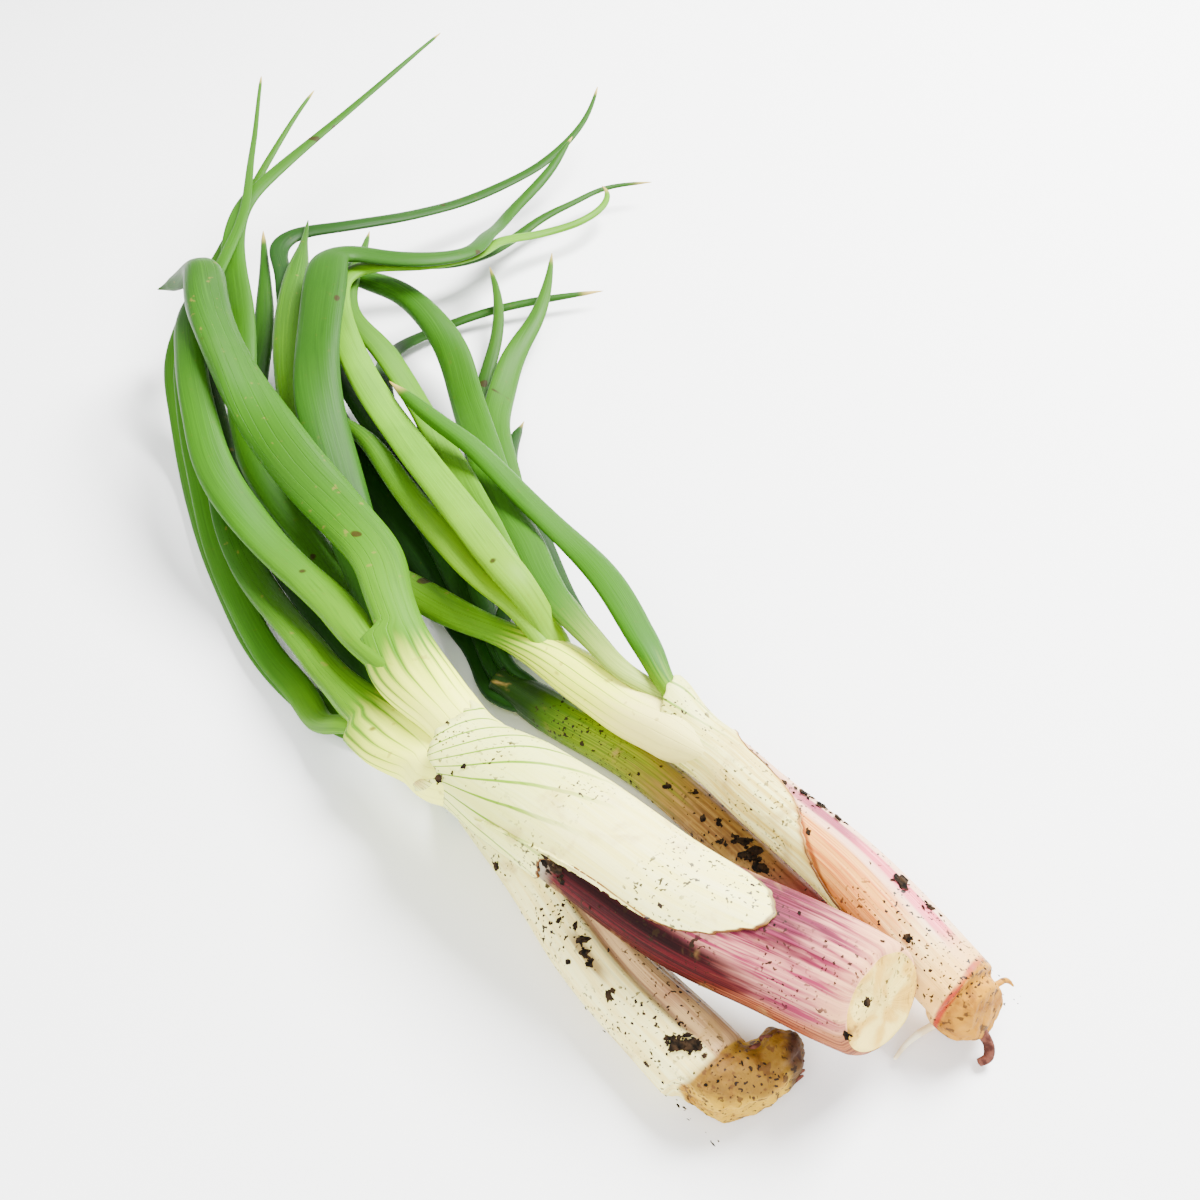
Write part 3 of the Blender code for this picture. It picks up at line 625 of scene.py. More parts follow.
def shank_skin(name, shank, first, last, swell_at, slant=0.0):
    """The closed body of a shank from one distance to another. Its cut face leans back by slant, in mm."""
    mm = np.linspace(first, last, int((last - first) / SHANK_ROW_STEP))
    angle = np.linspace(-90, 270, SHANK_COLUMNS + 1)
    grid_mm, grid_angle = np.meshgrid(mm, angle, indexing="ij")
    swell = swell_at(grid_mm, np.radians(grid_angle))
    to_tip = np.clip((last - grid_mm) / (last - first), 0, 1)
    leaning = slant * (1 + np.sin(np.radians(grid_angle + 30))) * to_tip
    points = shank.spot(grid_mm + leaning, grid_angle, 0.0, swell)
    middle = points[0].mean(axis=0)
    face = np.array([middle + (points[0] - middle) * share for share in FACE_SHARES])
    outward = unit(points[0].mean(axis=0) - points[3].mean(axis=0))
    face += outward * FACE_RELIEF * MM * waves(19, face / (7 * MM))[..., None]
    face[0] = face[0].mean(axis=0)
    points[-1] = points[-1].mean(axis=0)
    points = np.vstack([face, points])
    points[:, :, 2] = np.maximum(points[:, :, 2], OFF_TABLE)
    known = np.vstack([np.full((len(face), SHANK_COLUMNS + 1), first + FACE_MM), grid_mm + leaning])
    return skin_from(name, known, angle, points)


def rim(mm, at, radius):
    """How a cut end is rounded over."""
    t = np.clip((mm - at) / radius, 0, 1)
    return np.sqrt(1 - (1 - t) ** 2)


def bump_out(value, at, width):
    return np.exp(-(((value - at) / width) ** 2))


TORN_COLUMNS = 260
TORN_ROWS = 60
TORN_THICK = 0.4
MM_A_DEGREE = 0.18


def torn_layer(name, shank, edge, far_mm, ragged, lift, seed):
    """A sheath left on a shank, from its torn edge to its end. Edge rows are mm, angle and far angle."""
    edge = np.array(edge, float)
    steps = np.hypot(np.diff(edge[:, 0]), np.diff(edge[:, 1]) * MM_A_DEGREE)
    known = np.concatenate([[0], np.cumsum(steps)])
    t = np.linspace(0, known[-1], TORN_COLUMNS)
    route = curve_through(known, edge, t)
    tear = ragged * (waves(seed, t / 2.2) * 0.7 + waves(seed + 1, t / 0.8) * 0.3)
    start = route[:, 0] + tear
    r = np.linspace(0, 1, TORN_ROWS)[:, None] ** 1.3
    far = far_mm(route[:, 2])
    mm = start[None, :] * (1 - r) + far[None, :] * r
    bend = np.clip(r * 1.6, 0, 1)
    angle = route[:, 1][None, :] * (1 - bend) + route[:, 2][None, :] * bend
    points = shank.spot(mm, angle, lift(mm, angle, r))
    piece = skin_from(name, mm, angle, points, False)
    thick = piece.modifiers.new("thickness", "SOLIDIFY")
    thick.thickness = TORN_THICK * MM
    thick.offset = -1
    return piece


SOIL_SIZES = (0.10, 0.26)
SOIL_ROUND = (-60, 200)
SOIL_FLAT = 0.65
CRUMBS_A_MM = 7


def soil_on(name, shank, seed, count, first, last, clumps):
    """Crumbs of soil: many tiny ones at random, and clumps at mm, angle and radius in mm."""
    draw = np.random.default_rng(seed)
    smallest, spread = SOIL_SIZES
    spots = [(draw.uniform(first, last), draw.uniform(*SOIL_ROUND), smallest + spread * draw.random() ** 3)
             for _ in range(count)]
    for mm, angle, radius in clumps:
        spots.append((mm, angle, radius))
        for _ in range(int(CRUMBS_A_MM * radius)):
            spots.append((mm + draw.normal(0, 1.2 * radius), angle + draw.normal(0, 5 * radius),
                          radius * draw.uniform(0.15, 0.5)))
    clear_selection()
    bpy.ops.mesh.primitive_ico_sphere_add(subdivisions=2, radius=1)
    pattern = bpy.context.object
    ball = np.array([v.co for v in pattern.data.vertices])
    faces = np.array([face.vertices for face in pattern.data.polygons])
    bpy.data.objects.remove(pattern)
    points, corners = [], []
    for mm, angle, radius in spots:
        low, high = shank.spot(np.array([mm, mm]), angle, np.array([0.1 * radius, 1.0]))
        out = unit(high - low)
        lump = ball * draw.uniform(0.45, 1.4, 3)
        uneven = waves(draw.integers(9999), ball * 0.9)[:, None]
        lump *= 1 + 0.5 * uneven + draw.normal(0, 0.12, (len(ball), 1))
        lump -= np.outer(lump @ out, out) * SOIL_FLAT
        corners.append(faces + len(points) * len(ball))
        points.append(low + lump * radius * MM)
    mesh = bpy.data.meshes.new(name)
    mesh.from_pydata(np.vstack(points).tolist(), [], np.vstack(corners).tolist())
    piece = bpy.data.objects.new(name, mesh)
    bpy.context.scene.collection.objects.link(piece)
    return piece


def soil_finish():
    f = Finish("dark soil")
    grain = f.cloud(f.place(), 900.0, 3.0)
    colour = f.mix(grain.rise(0.35, 0.7), (0.003, 0.002, 0.001), (0.030, 0.016, 0.007))
    return f.done(colour, 0.9, grain, 0.3, gloss=0.1)


soil = soil_finish()


class ShankPaint(Finish):
    """A finish with the coordinates and the patterns that the shanks and their torn sheaths share."""

    def __init__(self, name, streak_pull=0.07, line_pull=0.05, patch_scale=70.0):
        super().__init__(name)
        surface, self.at = self.skin(), self.place()
        self.mm, self.angle = self.part(surface, "Z"), self.turn(surface) * (180 / math.pi)
        self.streak = self.cloud(self.sized(surface, (7.0, 7.0, streak_pull)), 1.0, 3.0)
        self.line = self.cloud(self.sized(surface, (24.0, 24.0, line_pull)), 1.0, 2.0)
        self.patch = self.cloud(self.at, patch_scale, 3.0)
        self.woody = self.node("ShaderNodeAttribute", {"attribute_name": "woody"}, {}, "Fac")

    def place_mm(self, axis):
        return self.part(self.at, axis) * (1 / MM)

    def dirty(self, colour, amount=1.0):
        """A colour with fine brown specks and faint stains, as washed-out soil leaves."""
        stain = self.cloud(self.at, 130.0, 4.0, 0.6)
        colour = self.mix(stain.rise(0.58, 0.74) * 0.45 * amount, colour, (0.40, 0.24, 0.07))
        where = self.cloud(self.at, 90.0, 2.0).rise(0.42, 0.60)
        fine = self.cloud(self.at, 1300.0, 1.0)
        colour = self.mix(fine.rise(0.64, 0.66) * where * 0.95 * amount, colour, (0.014, 0.006, 0.002))
        coarse = self.cloud(self.at, 520.0, 2.0)
        return self.mix(coarse.rise(0.68, 0.70) * where * amount, colour, (0.016, 0.007, 0.002))

    def woody_over(self, colour, light, dark, reach):
        """A colour under the woody root, which has darker stains and pits and goes up the shank to reach."""
        stain = self.cloud(self.at, 170.0, 4.0, 0.8)
        pit = self.cloud(self.at, 600.0, 2.0)
        wood = self.mix(stain.rise(0.42, 0.68), light, dark)
        wood = self.mix(pit.rise(0.58, 0.64) * 0.85, wood, (0.05, 0.020, 0.004))
        up_shank = 1 - (self.mm + (self.patch - 0.5) * 5).rise(reach - 1.0, reach + 1.0)
        share = (self.woody + (self.patch - 0.5) * 0.6).rise(0.45, 0.80)
        return self.mix(share.math("MAXIMUM", up_shank), colour, wood)

    def finished(self, colour, soil_share, woody_depth=0.0):
        colour = self.dirty(colour, soil_share)
        grain = self.cloud(self.at, 700.0, 3.0)
        height = self.streak * 0.6 + self.line * 0.4 + self.woody * grain * woody_depth
        roughness = 0.36 + self.patch * 0.14 + self.woody * 0.2
        return self.done(colour, roughness, height, 0.2, soak=0.08, gloss=0.16)


# The front shank: a thick one, cut off square at the root. Its outer sheath is white and torn off along a
# scalloped edge, and under it the skin is purple over crimson, and pink towards the root.

CUT_RIM = 1.6
FRONT_FIRST = -4.5
FRONT_PAST = 3
FRONT_SLANT = 4.0
front = Shank("onion_a_shank", (70.77, -170.83))


def front_swell(mm, a):
    end = 0.9 + 0.1 * rim(mm, FRONT_FIRST, CUT_RIM)
    neck = 1 - 0.22 * eased(mm, 60, front.length)
    ridge = 0.004 * np.sin(a * 11 + 0.06 * mm) + 0.012 * waves(61, mm / 30, np.cos(a), np.sin(a))
    return end * neck * (1 + ridge)


def front_finish():
    f = ShankPaint("purple skin")
    mm, angle, streak, line, patch = f.mm, f.angle, f.streak, f.line, f.patch
    along = mm + (streak - 0.5) * 22
    pink = f.mix(streak.rise(0.42, 0.60), (0.54, 0.19, 0.16), (0.26, 0.025, 0.065))
    rosy = f.mix(line.rise(0.48, 0.62) * 0.55, pink, (0.72, 0.36, 0.24))
    colour = f.mix(along.rise(-3, 12), (0.82, 0.42, 0.20), rosy)
    magenta = (angle + (streak - 0.5) * 24).rise(52, 76) * along.rise(6, 17)
    purple = f.mix(line.rise(0.42, 0.64), (0.050, 0.002, 0.010), (0.15, 0.008, 0.042))
    colour = f.mix(magenta * 0.95, colour, purple)
    low = 1 - (angle + (streak - 0.5) * 26 - along * 0.7).rise(12, 32)
    crimson = f.mix(line.rise(0.4, 0.62), (0.022, 0.001, 0.002), (0.070, 0.003, 0.006))
    colour = f.mix(low * along.rise(10, 26), colour, crimson)
    stripe = angle.near(30, 2, 11) * (mm + (patch - 0.5) * 16).rise(24, 36)
    colour = f.mix(stripe * 0.9, colour, (0.006, 0.001, 0.001))
    under = (1 - (angle + (streak - 0.5) * 30).rise(2, 24)) * (1 - along.rise(16, 30))
    rusty = f.mix(line.rise(0.4, 0.6), (0.09, 0.012, 0.004), (0.32, 0.09, 0.02))
    colour = f.mix(under * 0.9, colour, rusty)
    colour = f.mix((mm + (patch - 0.5) * 6).rise(54, 62), colour, (0.88, 0.86, 0.60))
    face = 1 - mm.rise(FRONT_FIRST - 2, FRONT_FIRST - 1)
    stain = f.cloud(f.at, 150.0, 4.0, 0.6)
    cut = f.mix(stain.rise(0.36, 0.58), (0.88, 0.68, 0.18), (0.70, 0.42, 0.06))
    cut = f.mix(stain.rise(0.58, 0.68) * 0.8, cut, (0.20, 0.08, 0.008))
    low_edge = 1 - (f.place_mm("Z") + (stain - 0.5) * 14).rise(2.5, 6)
    cut = f.mix(low_edge * 0.85, cut, (0.22, 0.09, 0.008))
    far_edge = (f.place_mm("X") + (stain - 0.5) * 7).rise(77, 81)
    cut = f.mix(far_edge * 0.6, cut, (0.46, 0.22, 0.02))
    colour = f.dirty(f.mix(face, colour, cut))
    height = streak * 0.6 + line * 0.4
    return f.done(colour, 0.40 + patch * 0.14, height, 0.22, soak=0.04, gloss=0.06)


body = shank_skin("front_shank_skin", front, FRONT_FIRST, front.length + FRONT_PAST, front_swell, FRONT_SLANT)
finish_piece(body, front_finish(), "front_shank", "onion_a_shank")

FRONT_TEAR = [
    (64, -75, -75), (61, -30, -35), (58, -8, -12), (57.5, 8, 0), (57.8, 22, 8), (54, 37, 15), (48, 42, 20),
    (42, 42.5, 25), (36, 43, 31), (31.5, 48, 38), (28, 57, 50), (24.5, 68, 62), (21, 80, 78), (20, 95, 96),
    (21.5, 112, 115), (25, 126, 130), (33, 139, 142), (44, 145, 150), (56, 152, 162), (66, 172, 178),
    (73, 205, 205)]


def front_far(angle):
    notch = 5.0 * bump_out(angle, 33, 14)
    flap = 3.5 * bump_out(angle, 150, 8)
    return front.length + 5.5 - notch + flap + 0.5 * waves(71, angle / 14)


def front_lift(mm, angle, r):
    curl = 0.06 * np.exp(-r / 0.012)
    flare = 0.5 * eased(mm, front.length - 2, front.length + 5)
    crest = 0.9 * bump_out(angle, 150, 10) * eased(mm, front.length + 1, front.length + 6)
    return 0.48 + curl + flare + crest - 1.1 * eased(mm, front.length - 12, front.length + 2)


TORN_VEINS = 38.0
VEIN_MM_A_DEGREE = 0.17


def torn_finish(name, vein_from, vein_reach, cream, warm=0.0):
    """White torn sheath, with green veins that fan out from one place, and a brown edge that may be warm."""
    f = ShankPaint(name, 0.06, 0.04, 60.0)
    mm, angle, streak, line, patch = f.mm, f.angle, f.streak, f.line, f.patch
    colour = f.mix(streak.rise(0.35, 0.65), cream, (0.98, 0.92, 0.34))
    colour = f.mix(line.rise(0.5, 0.7) * 0.3, colour, (0.98, 0.95, 0.50))
    colour = f.mix(patch.rise(0.52, 0.8) * 0.35, colour, (0.74, 0.52, 0.40))
    at_mm, at_angle = vein_from
    away = at_mm - mm
    aside = (angle - at_angle) * VEIN_MM_A_DEGREE
    wave = (aside.math("ARCTAN2", away) * TORN_VEINS + (patch - 0.5) * 2.0).math("SINE")
    near = (1 - (away + (streak - 0.5) * 16).rise(vein_reach * 0.45, vein_reach)) * away.rise(-3, 3)
    colour = f.mix(near * 0.6, colour, (0.60, 0.72, 0.14))
    colour = f.mix(wave.rise(0.86, 0.97) * near, colour, (0.15, 0.30, 0.002))
    notch = away.near(0, 3, 8) * aside.near(0, 1.5, 4)
    colour = f.mix(notch * patch.rise(0.25, 0.45) * 0.8, colour, (0.34, 0.17, 0.03))
    share = f.part(f.node("ShaderNodeUVMap", {}, {}), "Y") + (patch - 0.5) * 0.03
    colour = f.mix((1 - share.rise(0.02, 0.09)) * warm, colour, (0.62, 0.26, 0.06))
    colour = f.mix((1 - share.rise(0.022, 0.042)) * patch.rise(0.30, 0.50), colour, (0.11, 0.036, 0.004))
    colour = f.dirty(colour)
    height = streak * 0.5 + line * 0.4 + wave.rise(0.86, 0.99) * near * 0.3
    return f.done(colour, 0.33 + patch * 0.12, height, 0.16, soak=0.10, gloss=0.2)


FRONT_VEINS_FROM = (92, 20)
FRONT_CREAM = (0.95, 0.86, 0.22)
layer = torn_layer("front_outer_sheath", front, FRONT_TEAR, front_far, 0.45, front_lift, 5)
finish_piece(layer, torn_finish("white torn sheath", FRONT_VEINS_FROM, 44, FRONT_CREAM), "front_shank")
FRONT_CLUMPS = [
    (57, 30, 1.5), (55, 22, 1.0), (53, 16, 0.8), (2, 20, 0.7), (1, 60, 0.6), (80, 60, 0.4),
    (front.length, 34, 0.6), (front.length - 2, 48, 0.35), (60, 144, 0.7), (70, 143, 0.8)]
finish_piece(soil_on("front_soil", front, 81, 150, 2, 84, FRONT_CLUMPS), soil, "front_shank")


# The shank on the left has two lobes. One of them is pinker and partly darkened as painted shade.
# A soft crease runs between them and is painted darker as shade. It keeps its woody root plate, which sticks
# out to one side with the dried fringe of its roots.

SKIN_CELL = 0.42
SKIN_SOFTENING = 5
ROOT_RINGS = 48
ROOT_COLUMNS = 12


def root_tube(name, points, widths):
    """A root along some points, in mm in the frame."""
    points, widths = np.array(points, float) * MM, np.array(widths, float) * MM
    known = np.concatenate([[0], np.cumsum(np.linalg.norm(np.diff(points, axis=0), axis=1))])
    t = np.linspace(0, known[-1], ROOT_RINGS)
    line = curve_through(known, points, t)
    radius = curve_through(known, widths[:, None], t)[:, 0] / 2 * (1 + 0.12 * waves(7, t / (3 * MM)))
    tangent = unit(np.gradient(line, axis=0))
    side = unit(np.cross(tangent, [0.1, 0.2, 1.0]))
    angle = np.linspace(0, 360, ROOT_COLUMNS + 1)
    a = np.radians(angle)[None, :, None]
    ring = side[:, None] * np.cos(a) + np.cross(tangent, side)[:, None] * np.sin(a)
    surface = line[:, None] + ring * radius[:, None, None]
    surface[0], surface[-1] = line[0], line[-1]
    surface[:, :, 2] = np.maximum(surface[:, :, 2], OFF_TABLE)
    return skin_from(name, t / MM, angle, surface)


def knob_piece(centre, size, turn):
    """A ball, pulled to its half sizes in mm and then turned by some degrees."""
    clear_selection()
    bpy.ops.mesh.primitive_uv_sphere_add(segments=48, ring_count=32, location=Vector(centre) * MM,
                                         rotation=(0, 0, math.radians(turn)))
    bpy.context.object.scale = Vector(size) * MM
    return bpy.context.object


def grown_together(name, shank, pieces, knobs, cuts, relief):
    """Pieces joined under one skin. A cut is a direction and a distance from the middle of the first knob.

    Relief says how far the skin stands out, in mm, at a distance, an angle, a woody share and a place.
    """
    pieces = [*pieces, *(knob_piece(*knob) for knob in knobs)]
    clear_selection()
    for piece in pieces:
        piece.select_set(True)
    bpy.context.view_layer.objects.active = pieces[0]
    bpy.ops.object.join()
    piece = bpy.context.object
    piece.name = piece.data.name = name
    remesh = piece.modifiers.new("one skin", "REMESH")
    remesh.voxel_size = SKIN_CELL * MM
    soften = piece.modifiers.new("softened", "SMOOTH")
    soften.iterations = SKIN_SOFTENING
    for modifier in (remesh.name, soften.name):
        bpy.ops.object.modifier_apply(modifier=modifier)
    mesh = piece.data
    points, normals = np.empty(len(mesh.vertices) * 3), np.empty(len(mesh.vertices) * 3)
    mesh.vertices.foreach_get("co", points)
    mesh.vertex_normals.foreach_get("vector", normals)
    points, normals = points.reshape(-1, 3), normals.reshape(-1, 3)
    mm, angle = shank.place_of(points)
    woody = np.zeros(len(points))
    for centre, size, turn in knobs:
        c, s = math.cos(math.radians(turn)), math.sin(math.radians(turn))
        out = points / MM - centre
        out = np.column_stack([c * out[:, 0] + s * out[:, 1], c * out[:, 1] - s * out[:, 0], out[:, 2]])
        woody = np.maximum(woody, 1 - eased(np.linalg.norm(out / size, axis=1), 0.98, 1.3))
    for facing, reach in cuts:
        facing = unit(np.array(facing, float))
        over = (points - np.array(knobs[0][0]) * MM) @ facing - reach * MM
        points = points - facing * (np.maximum(over, 0) * 0.9 * eased(woody, 0, 0.3))[:, None]
    points = points + normals * (relief(mm, angle, woody, points / MM) * MM)[:, None]
    points[:, 2] = np.maximum(points[:, 2], OFF_TABLE)
    mesh.vertices.foreach_set("co", points.ravel())
    around = np.radians(angle)
    mesh.attributes.new("skin", "FLOAT_VECTOR", "POINT").data.foreach_set(
        "vector", np.column_stack([np.cos(around), np.sin(around), mm]).astype(np.float32).ravel())
    mesh.attributes.new("woody", "FLOAT", "POINT").data.foreach_set("value", woody.astype(np.float32))
    bpy.ops.object.shade_smooth()
    return piece


def left_relief(mm, angle, woody, place):
    plain = 1 - woody
    below_neck = 1 - eased(mm, 40, 58)
    crease = -1.5 * bump_out(angle, 96, 9) * eased(mm, 3, 9) * below_neck
    lobe = 0.5 * bump_out(angle, 118, 16) * eased(mm, 2, 10) * below_neck
    a = np.radians(angle)
    ridge = 0.06 * np.sin(a * 26 + mm * 0.05) + 0.25 * waves(91, mm / 26, a / 2)
    rough = 0.35 * waves(92, place / 4.5) + 0.16 * waves(93, place / 1.6)
    return plain * (crease + lobe + ridge) + woody * rough


def left_paint():
    f = ShankPaint("brown shank skin")
    white = f.mix(f.streak.rise(0.35, 0.65), (0.97, 0.90, 0.40), (0.90, 0.74, 0.24))
    # The pink lobe is a tan-pink skin. It and its brown patches are partly darkened as painted shade, for the
    # shadow that the front shank casts on it.
    pink = f.mix(f.line.rise(0.4, 0.65), (0.54, 0.33, 0.14), (0.32, 0.16, 0.07))
    pink = f.mix(f.patch.rise(0.45, 0.7) * 0.6, pink, (0.26, 0.085, 0.05))
    lobe = (f.angle + (f.streak - 0.5) * 12).rise(86, 98)
    colour = f.mix(lobe * 0.95, white, pink)
    # Painted shade: a darker brown along the crease between the lobes, for the shadow that gathers in it.
    crease_shade = f.angle.near(95, 1.5, 7)
    colour = f.mix(crease_shade * f.mm.rise(4, 9) * 0.6, colour, (0.18, 0.09, 0.05))
    colour = f.mix(f.mm.rise(42, 62) * 0.5, colour, (0.50, 0.56, 0.16))
    scab = (f.mm + (f.patch - 0.5) * 8).near(28, 3, 7)
    side = (f.angle + (f.streak - 0.5) * 20).near(64, 3, 12)
    colour = f.mix(scab * side * f.patch.rise(0.4, 0.55) * 0.8, colour, (0.20, 0.10, 0.025))
    colour = f.woody_over(colour, (0.50, 0.29, 0.010), (0.28, 0.12, 0.003), -0.4)
    ridge = (f.place_mm("Z") + (f.patch - 0.5) * 5).rise(8.5, 10.5)
    colour = f.mix(f.woody * ridge * 0.8, colour, (0.10, 0.040, 0.008))
    fringe = (f.place_mm("X") + (f.patch - 0.5) * 4).rise(55.5, 57.5)
    colour = f.mix(f.woody * fringe * 0.9, colour, (0.035, 0.012, 0.009))
    return f.finished(colour, 1.2, 1.5)


# A knob is its middle and its half sizes in mm, and its turn in degrees.
LEFT_CUTS = [((-0.54, -0.84, -0.1), 4.4), ((0.25, -0.97, 0), 3.8), ((0.10, -0.75, 0.65), 4.2)]
LEFT_KNOBS = [((46.8, -179.8, 6.2), (9.0, 6.2, 6.1), 20), ((54.3, -175.8, 6.0), (6.0, 4.6, 5.5), 50)]
left = Shank("onion_b_shank", (44.77, -177.83))
body = shank_skin("left_shank_core", left, 0.5, left.length + 2, lambda mm, a: 1.0)
body = grown_together("left_shank_skin", left, [body], LEFT_KNOBS, LEFT_CUTS, left_relief)
finish_piece(body, left_paint(), "brown_shank", "onion_b_shank")
LEFT_CLUMPS = [
    (6.4, 66, 0.8), (5.8, 71, 1.1), (5.1, 76, 1.1), (4.4, 81, 1.0), (3.8, 87, 0.8), (20, 52, 0.9),
    (30, 70, 1.0), (28, 64, 0.9), (26, 58, 0.8), (33, 74, 0.7), (54, 19, 0.8), (29, 35, 0.5)]
finish_piece(soil_on("left_soil", left, 82, 170, -8, 66, LEFT_CLUMPS), soil, "brown_shank")


def bark_finish():
    f = Finish("brown root")
    colour = f.mix(f.cloud(f.place(), 500.0, 3.0).rise(0.4, 0.6), (0.05, 0.014, 0.010), (0.15, 0.050, 0.032))
    return f.done(colour, 0.7, f.cloud(f.place(), 900.0, 3.0), 0.3, gloss=0.1)


bark = bark_finish()
DRIED_ROOTS = 13
DRIED_ROOT_WIDTHS = (1.0, 0.8, 0.4)
DRIED_ROOT_WAY = np.array([0.5, 0.1, 0.7])
PLATE_EDGE = np.array([
    (50.5, -175.6, 9.6), (54.0, -173.0, 9.6), (57.6, -172.4, 8.2), (59.0, -174.6, 6.4), (57.8, -178.2, 5.0)])
draw = np.random.default_rng(21)
for i, t in enumerate(np.linspace(0, 1, DRIED_ROOTS)):
    on_edge = curve_through(np.linspace(0, 1, len(PLATE_EDGE)), PLATE_EDGE, np.array([t]))[0]
    start = on_edge + draw.normal(0, 0.3, 3)
    out = unit(DRIED_ROOT_WAY + draw.normal(0, 0.35, 3)) * draw.uniform(1.0, 2.4)
    root = root_tube(f"dried_root_{i + 1}", [start - out, start, start + out * 0.6], DRIED_ROOT_WIDTHS)
    finish_piece(root, bark, "brown_shank")


# The right shank is peach and magenta under a white sheath that is torn off along a slanting edge. Its root
# plate is golden, with a red edge and a few roots that were missed in the trimming.

RED_EDGE_FROM = (84.5, -167.0)
RED_EDGE_WAY = (0.673, 0.740)


def right_relief(mm, angle, woody, place):
    a = np.radians(angle)
    ridge = 0.05 * np.sin(a * 24 + mm * 0.07) + 0.22 * waves(94, mm / 30, a / 2)
    rough = 0.25 * waves(95, place / 4.0) + 0.12 * waves(96, place / 1.5)
    return (1 - woody) * ridge + woody * rough


def right_paint():
    f = ShankPaint("peach shank skin")
    peach = f.mix(f.line.rise(0.38, 0.66), (0.84, 0.38, 0.08), (0.62, 0.17, 0.03))
    colour = f.mix((f.mm + (f.streak - 0.5) * 22).rise(6, 20), (0.90, 0.66, 0.28), peach)
    colour = f.mix((f.angle + (f.streak - 0.5) * 24).rise(82, 100) * 0.7, colour, (0.92, 0.62, 0.46))
    stripe = (f.angle + (f.streak - 0.5) * 16).near(114, 8, 17)
    stripe = stripe * (f.mm + (f.patch - 0.5) * 10).rise(3, 9) * (1 - f.mm.rise(40, 54))
    magenta = f.mix(f.line.rise(0.4, 0.65), (0.62, 0.05, 0.12), (0.92, 0.20, 0.26))
    colour = f.mix(stripe * 0.9, colour, magenta)
    colour = f.mix(stripe * f.mm.rise(26, 34) * 0.7, colour, (0.14, 0.02, 0.06))
    colour = f.mix(f.mm.rise(44, 56) * 0.6, colour, (0.62, 0.36, 0.14))
    colour = f.mix((1 - (f.mm + (f.patch - 0.5) * 8).rise(2, 12)) * 0.75, colour, (0.84, 0.44, 0.08))
    along_tear = f.mm - f.angle * 0.20 + (f.patch - 0.5) * 3
    rust = along_tear.near(24.9, 0.3, 1.7) * f.angle.rise(-10, 10) * (1 - f.angle.rise(92, 108))
    colour = f.mix(rust * 0.85, colour, (0.22, 0.040, 0.004))
    across = (f.place_mm("X") - RED_EDGE_FROM[0]) * RED_EDGE_WAY[1]
    past_edge = across - (f.place_mm("Y") - RED_EDGE_FROM[1]) * RED_EDGE_WAY[0] + (f.patch - 0.5) * 2
    golden = f.woody_over(colour, (0.48, 0.21, 0.004), (0.24, 0.085, 0.003), 1.5)
    colour = f.mix(past_edge.rise(-0.4, 0.4), colour, golden)
    red = past_edge.near(0, 0.2, 0.8) * f.mm.rise(-9, -7) * (1 - f.mm.rise(2, 4))
    colour = f.mix(red * f.patch.rise(0.2, 0.36) * 0.95, colour, (0.34, 0.018, 0.004))
    return f.finished(colour, 1.3, 1.4)


RIGHT_CUTS = [((0.62, -0.60, 0.30), 4.0)]
RIGHT_KNOBS = [((87.6, -166.4, 7.6), (6.6, 5.6, 6.4), 10)]
HOOKED_ROOT = [
    (88.3, -168.3, 6), (90.6, -170.4, 4.6), (91.6, -171.8, 3), (91.4, -173.0, 1.8), (89.6, -173.8, 1.3)]
HOOKED_WIDTHS = (2.4, 2.1, 1.9, 1.7, 1.4)
SIDE_ROOT = [(90.3, -165.3, 8.5), (93.6, -163.2, 8.5), (95.8, -162.2, 7.8), (97.2, -163.0, 6.8)]
SIDE_WIDTHS = (2.6, 1.6, 1.2, 0.7)
PALE_ROOT = [
    (85.8, -167.3, 6), (82.6, -168.6, 4.6), (79.8, -169.8, 3.6), (77.6, -171.2, 2.5), (75.5, -173.3, 1.5)]
PALE_WIDTHS = (1.5, 1.4, 1.2, 1.0, 0.7)
right = Shank("onion_c_shank", (86.77, -166.83))
core = shank_skin("right_shank_core", right, 0.5, right.length + 1, lambda mm, a: 1.0)
side_root = root_tube("side_root", SIDE_ROOT, SIDE_WIDTHS)
body = grown_together("right_shank_skin", right, [core, side_root], RIGHT_KNOBS, RIGHT_CUTS, right_relief)
finish_piece(body, right_paint(), "right_shank", "onion_c_shank")

RIGHT_TEAR = [
    (15, -95, -95), (17, -50, -55), (19, -25, -30), (20.5, -6, -8), (21.5, 4, 0), (26, 11, 8), (32, 29, 20),
    (38, 62, 48), (42, 88, 72), (47, 104, 88), (53, 113, 104), (58.5, 117, 114), (61, 128, 128),
    (63, 150, 150), (66, 185, 185)]


def right_far(angle):
    return right.length + 3.0 + 3.2 * bump_out(angle, 128, 42) + 0.4 * waves(72, angle / 16)


def right_lift(mm, angle, r):
    wrap = 3.6 * bump_out(angle, 130, 42) * eased(mm, right.length - 7, right.length + 7)
    return 0.42 + 0.3 * eased(mm, right.length - 1, right.length + 4) + 0.25 * np.exp(-r / 0.02) + wrap


RIGHT_VEINS_FROM = (100, 60)
RIGHT_CREAM = (0.72, 0.52, 0.09)
layer = torn_layer("right_outer_sheath", right, RIGHT_TEAR, right_far, 0.35, right_lift, 9)
paint = torn_finish("white torn sheath with orange edge", RIGHT_VEINS_FROM, 45, RIGHT_CREAM, 0.8)
finish_piece(layer, paint, "right_shank")
RIGHT_CLUMPS = [
    (53, 120, 0.9), (48, 112, 0.8), (44, 128, 1.0), (40, 132, 1.2), (36, 134, 0.9), (20, 118, 1.2),
    (14, 126, 1.0), (58, 118, 0.8), (37, 70, 0.6), (12, 60, 0.7)]
finish_piece(soil_on("right_soil", right, 83, 190, -6, 68, RIGHT_CLUMPS), soil, "right_shank")
finish_piece(root_tube("hooked_root", HOOKED_ROOT, HOOKED_WIDTHS), bark, "right_shank")


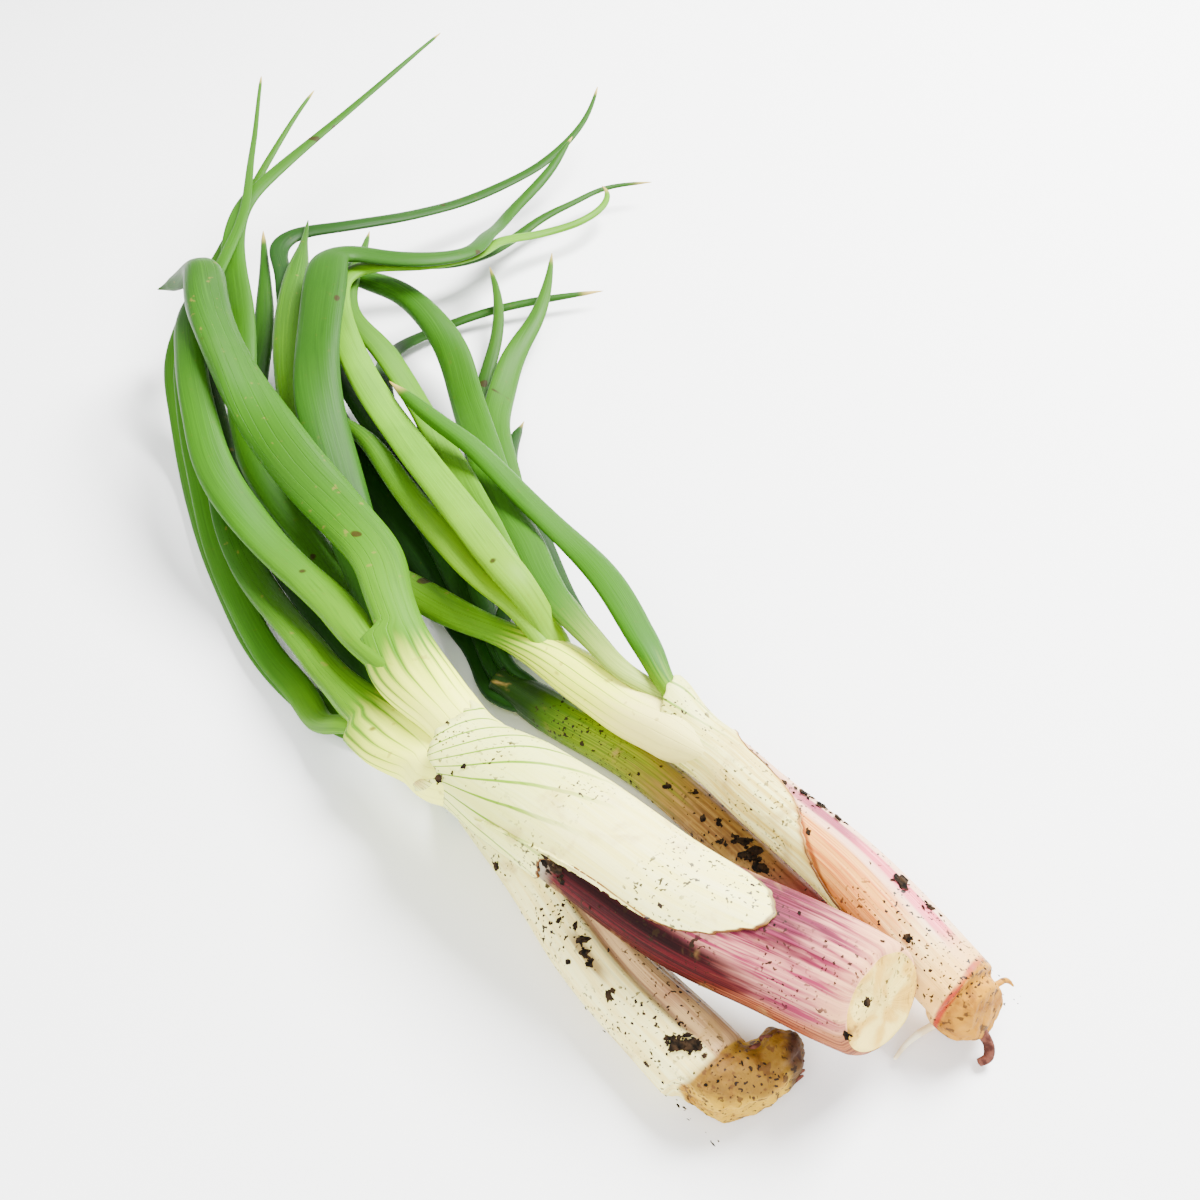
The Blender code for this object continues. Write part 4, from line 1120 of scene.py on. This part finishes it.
def pale_root_finish():
    f = Finish("pale root")
    share = f.cloud(f.place(), 300.0, 2.0).rise(0.4, 0.6)
    return f.done(f.mix(share, (0.84, 0.76, 0.52), (0.70, 0.55, 0.30)), 0.5)


finish_piece(root_tube("pale_root", PALE_ROOT, PALE_WIDTHS), pale_root_finish(), "right_shank")


# The lower shank shows little of itself. It is olive towards its leaves, tan and soiled below, and pink at
# its root, which lies under the others. Its top end is painted dark as shade, for the shadow of the others
# over it. It is a plain body with no torn sheath.

def lower_paint():
    f = ShankPaint("olive shank skin")
    olive = f.mix(f.line.rise(0.4, 0.66), (0.22, 0.30, 0.001), (0.09, 0.16, 0.001))
    tan = f.mix(f.streak.rise(0.35, 0.65), (0.30, 0.17, 0.04), (0.15, 0.065, 0.015))
    colour = f.mix((f.mm + (f.streak - 0.5) * 26).rise(34, 62), tan, olive)
    pink = 1 - (f.mm + (f.streak - 0.5) * 16).rise(4, 22)
    colour = f.mix(pink * 0.85, colour, (0.26, 0.03, 0.06))
    colour = f.mix((f.mm + (f.line - 0.5) * 14).rise(58, 76), colour, (0.05, 0.12, 0.001))
    # Painted shade: from 70 mm on, the top end turns a near-black green for the shadow that the other onions
    # cast on it.
    colour = f.mix(f.mm.rise(70, 80), colour, (0.008, 0.028, 0.001))
    return f.finished(colour, 1.8)


lower = Shank("onion_d_shank", (68.77, -151.83))


def lower_swell(mm, a):
    closing = 1 - 0.35 * eased(mm, lower.length - 8, lower.length + 8)
    ridge = 0.008 * np.sin(a * 16 + 0.05 * mm) + 0.02 * waves(97, mm / 25, np.cos(a))
    return (0.6 + 0.4 * rim(mm, 0, 1.5)) * closing * (1 + ridge)


body = shank_skin("lower_shank_skin", lower, 0, lower.length + 7, lower_swell)
finish_piece(body, lower_paint(), "lower_shank", "onion_d_shank")
LOWER_CLUMPS = [
    (21, 77, 1.5), (24, 86, 1.2), (18, 70, 1.1), (30, 78, 0.8), (38, 98, 0.7), (43, 63, 0.6), (33, 60, 0.7),
    (27, 50, 0.8)]
finish_piece(soil_on("lower_soil", lower, 84, 220, 2, 74, LOWER_CLUMPS), soil, "lower_shank")
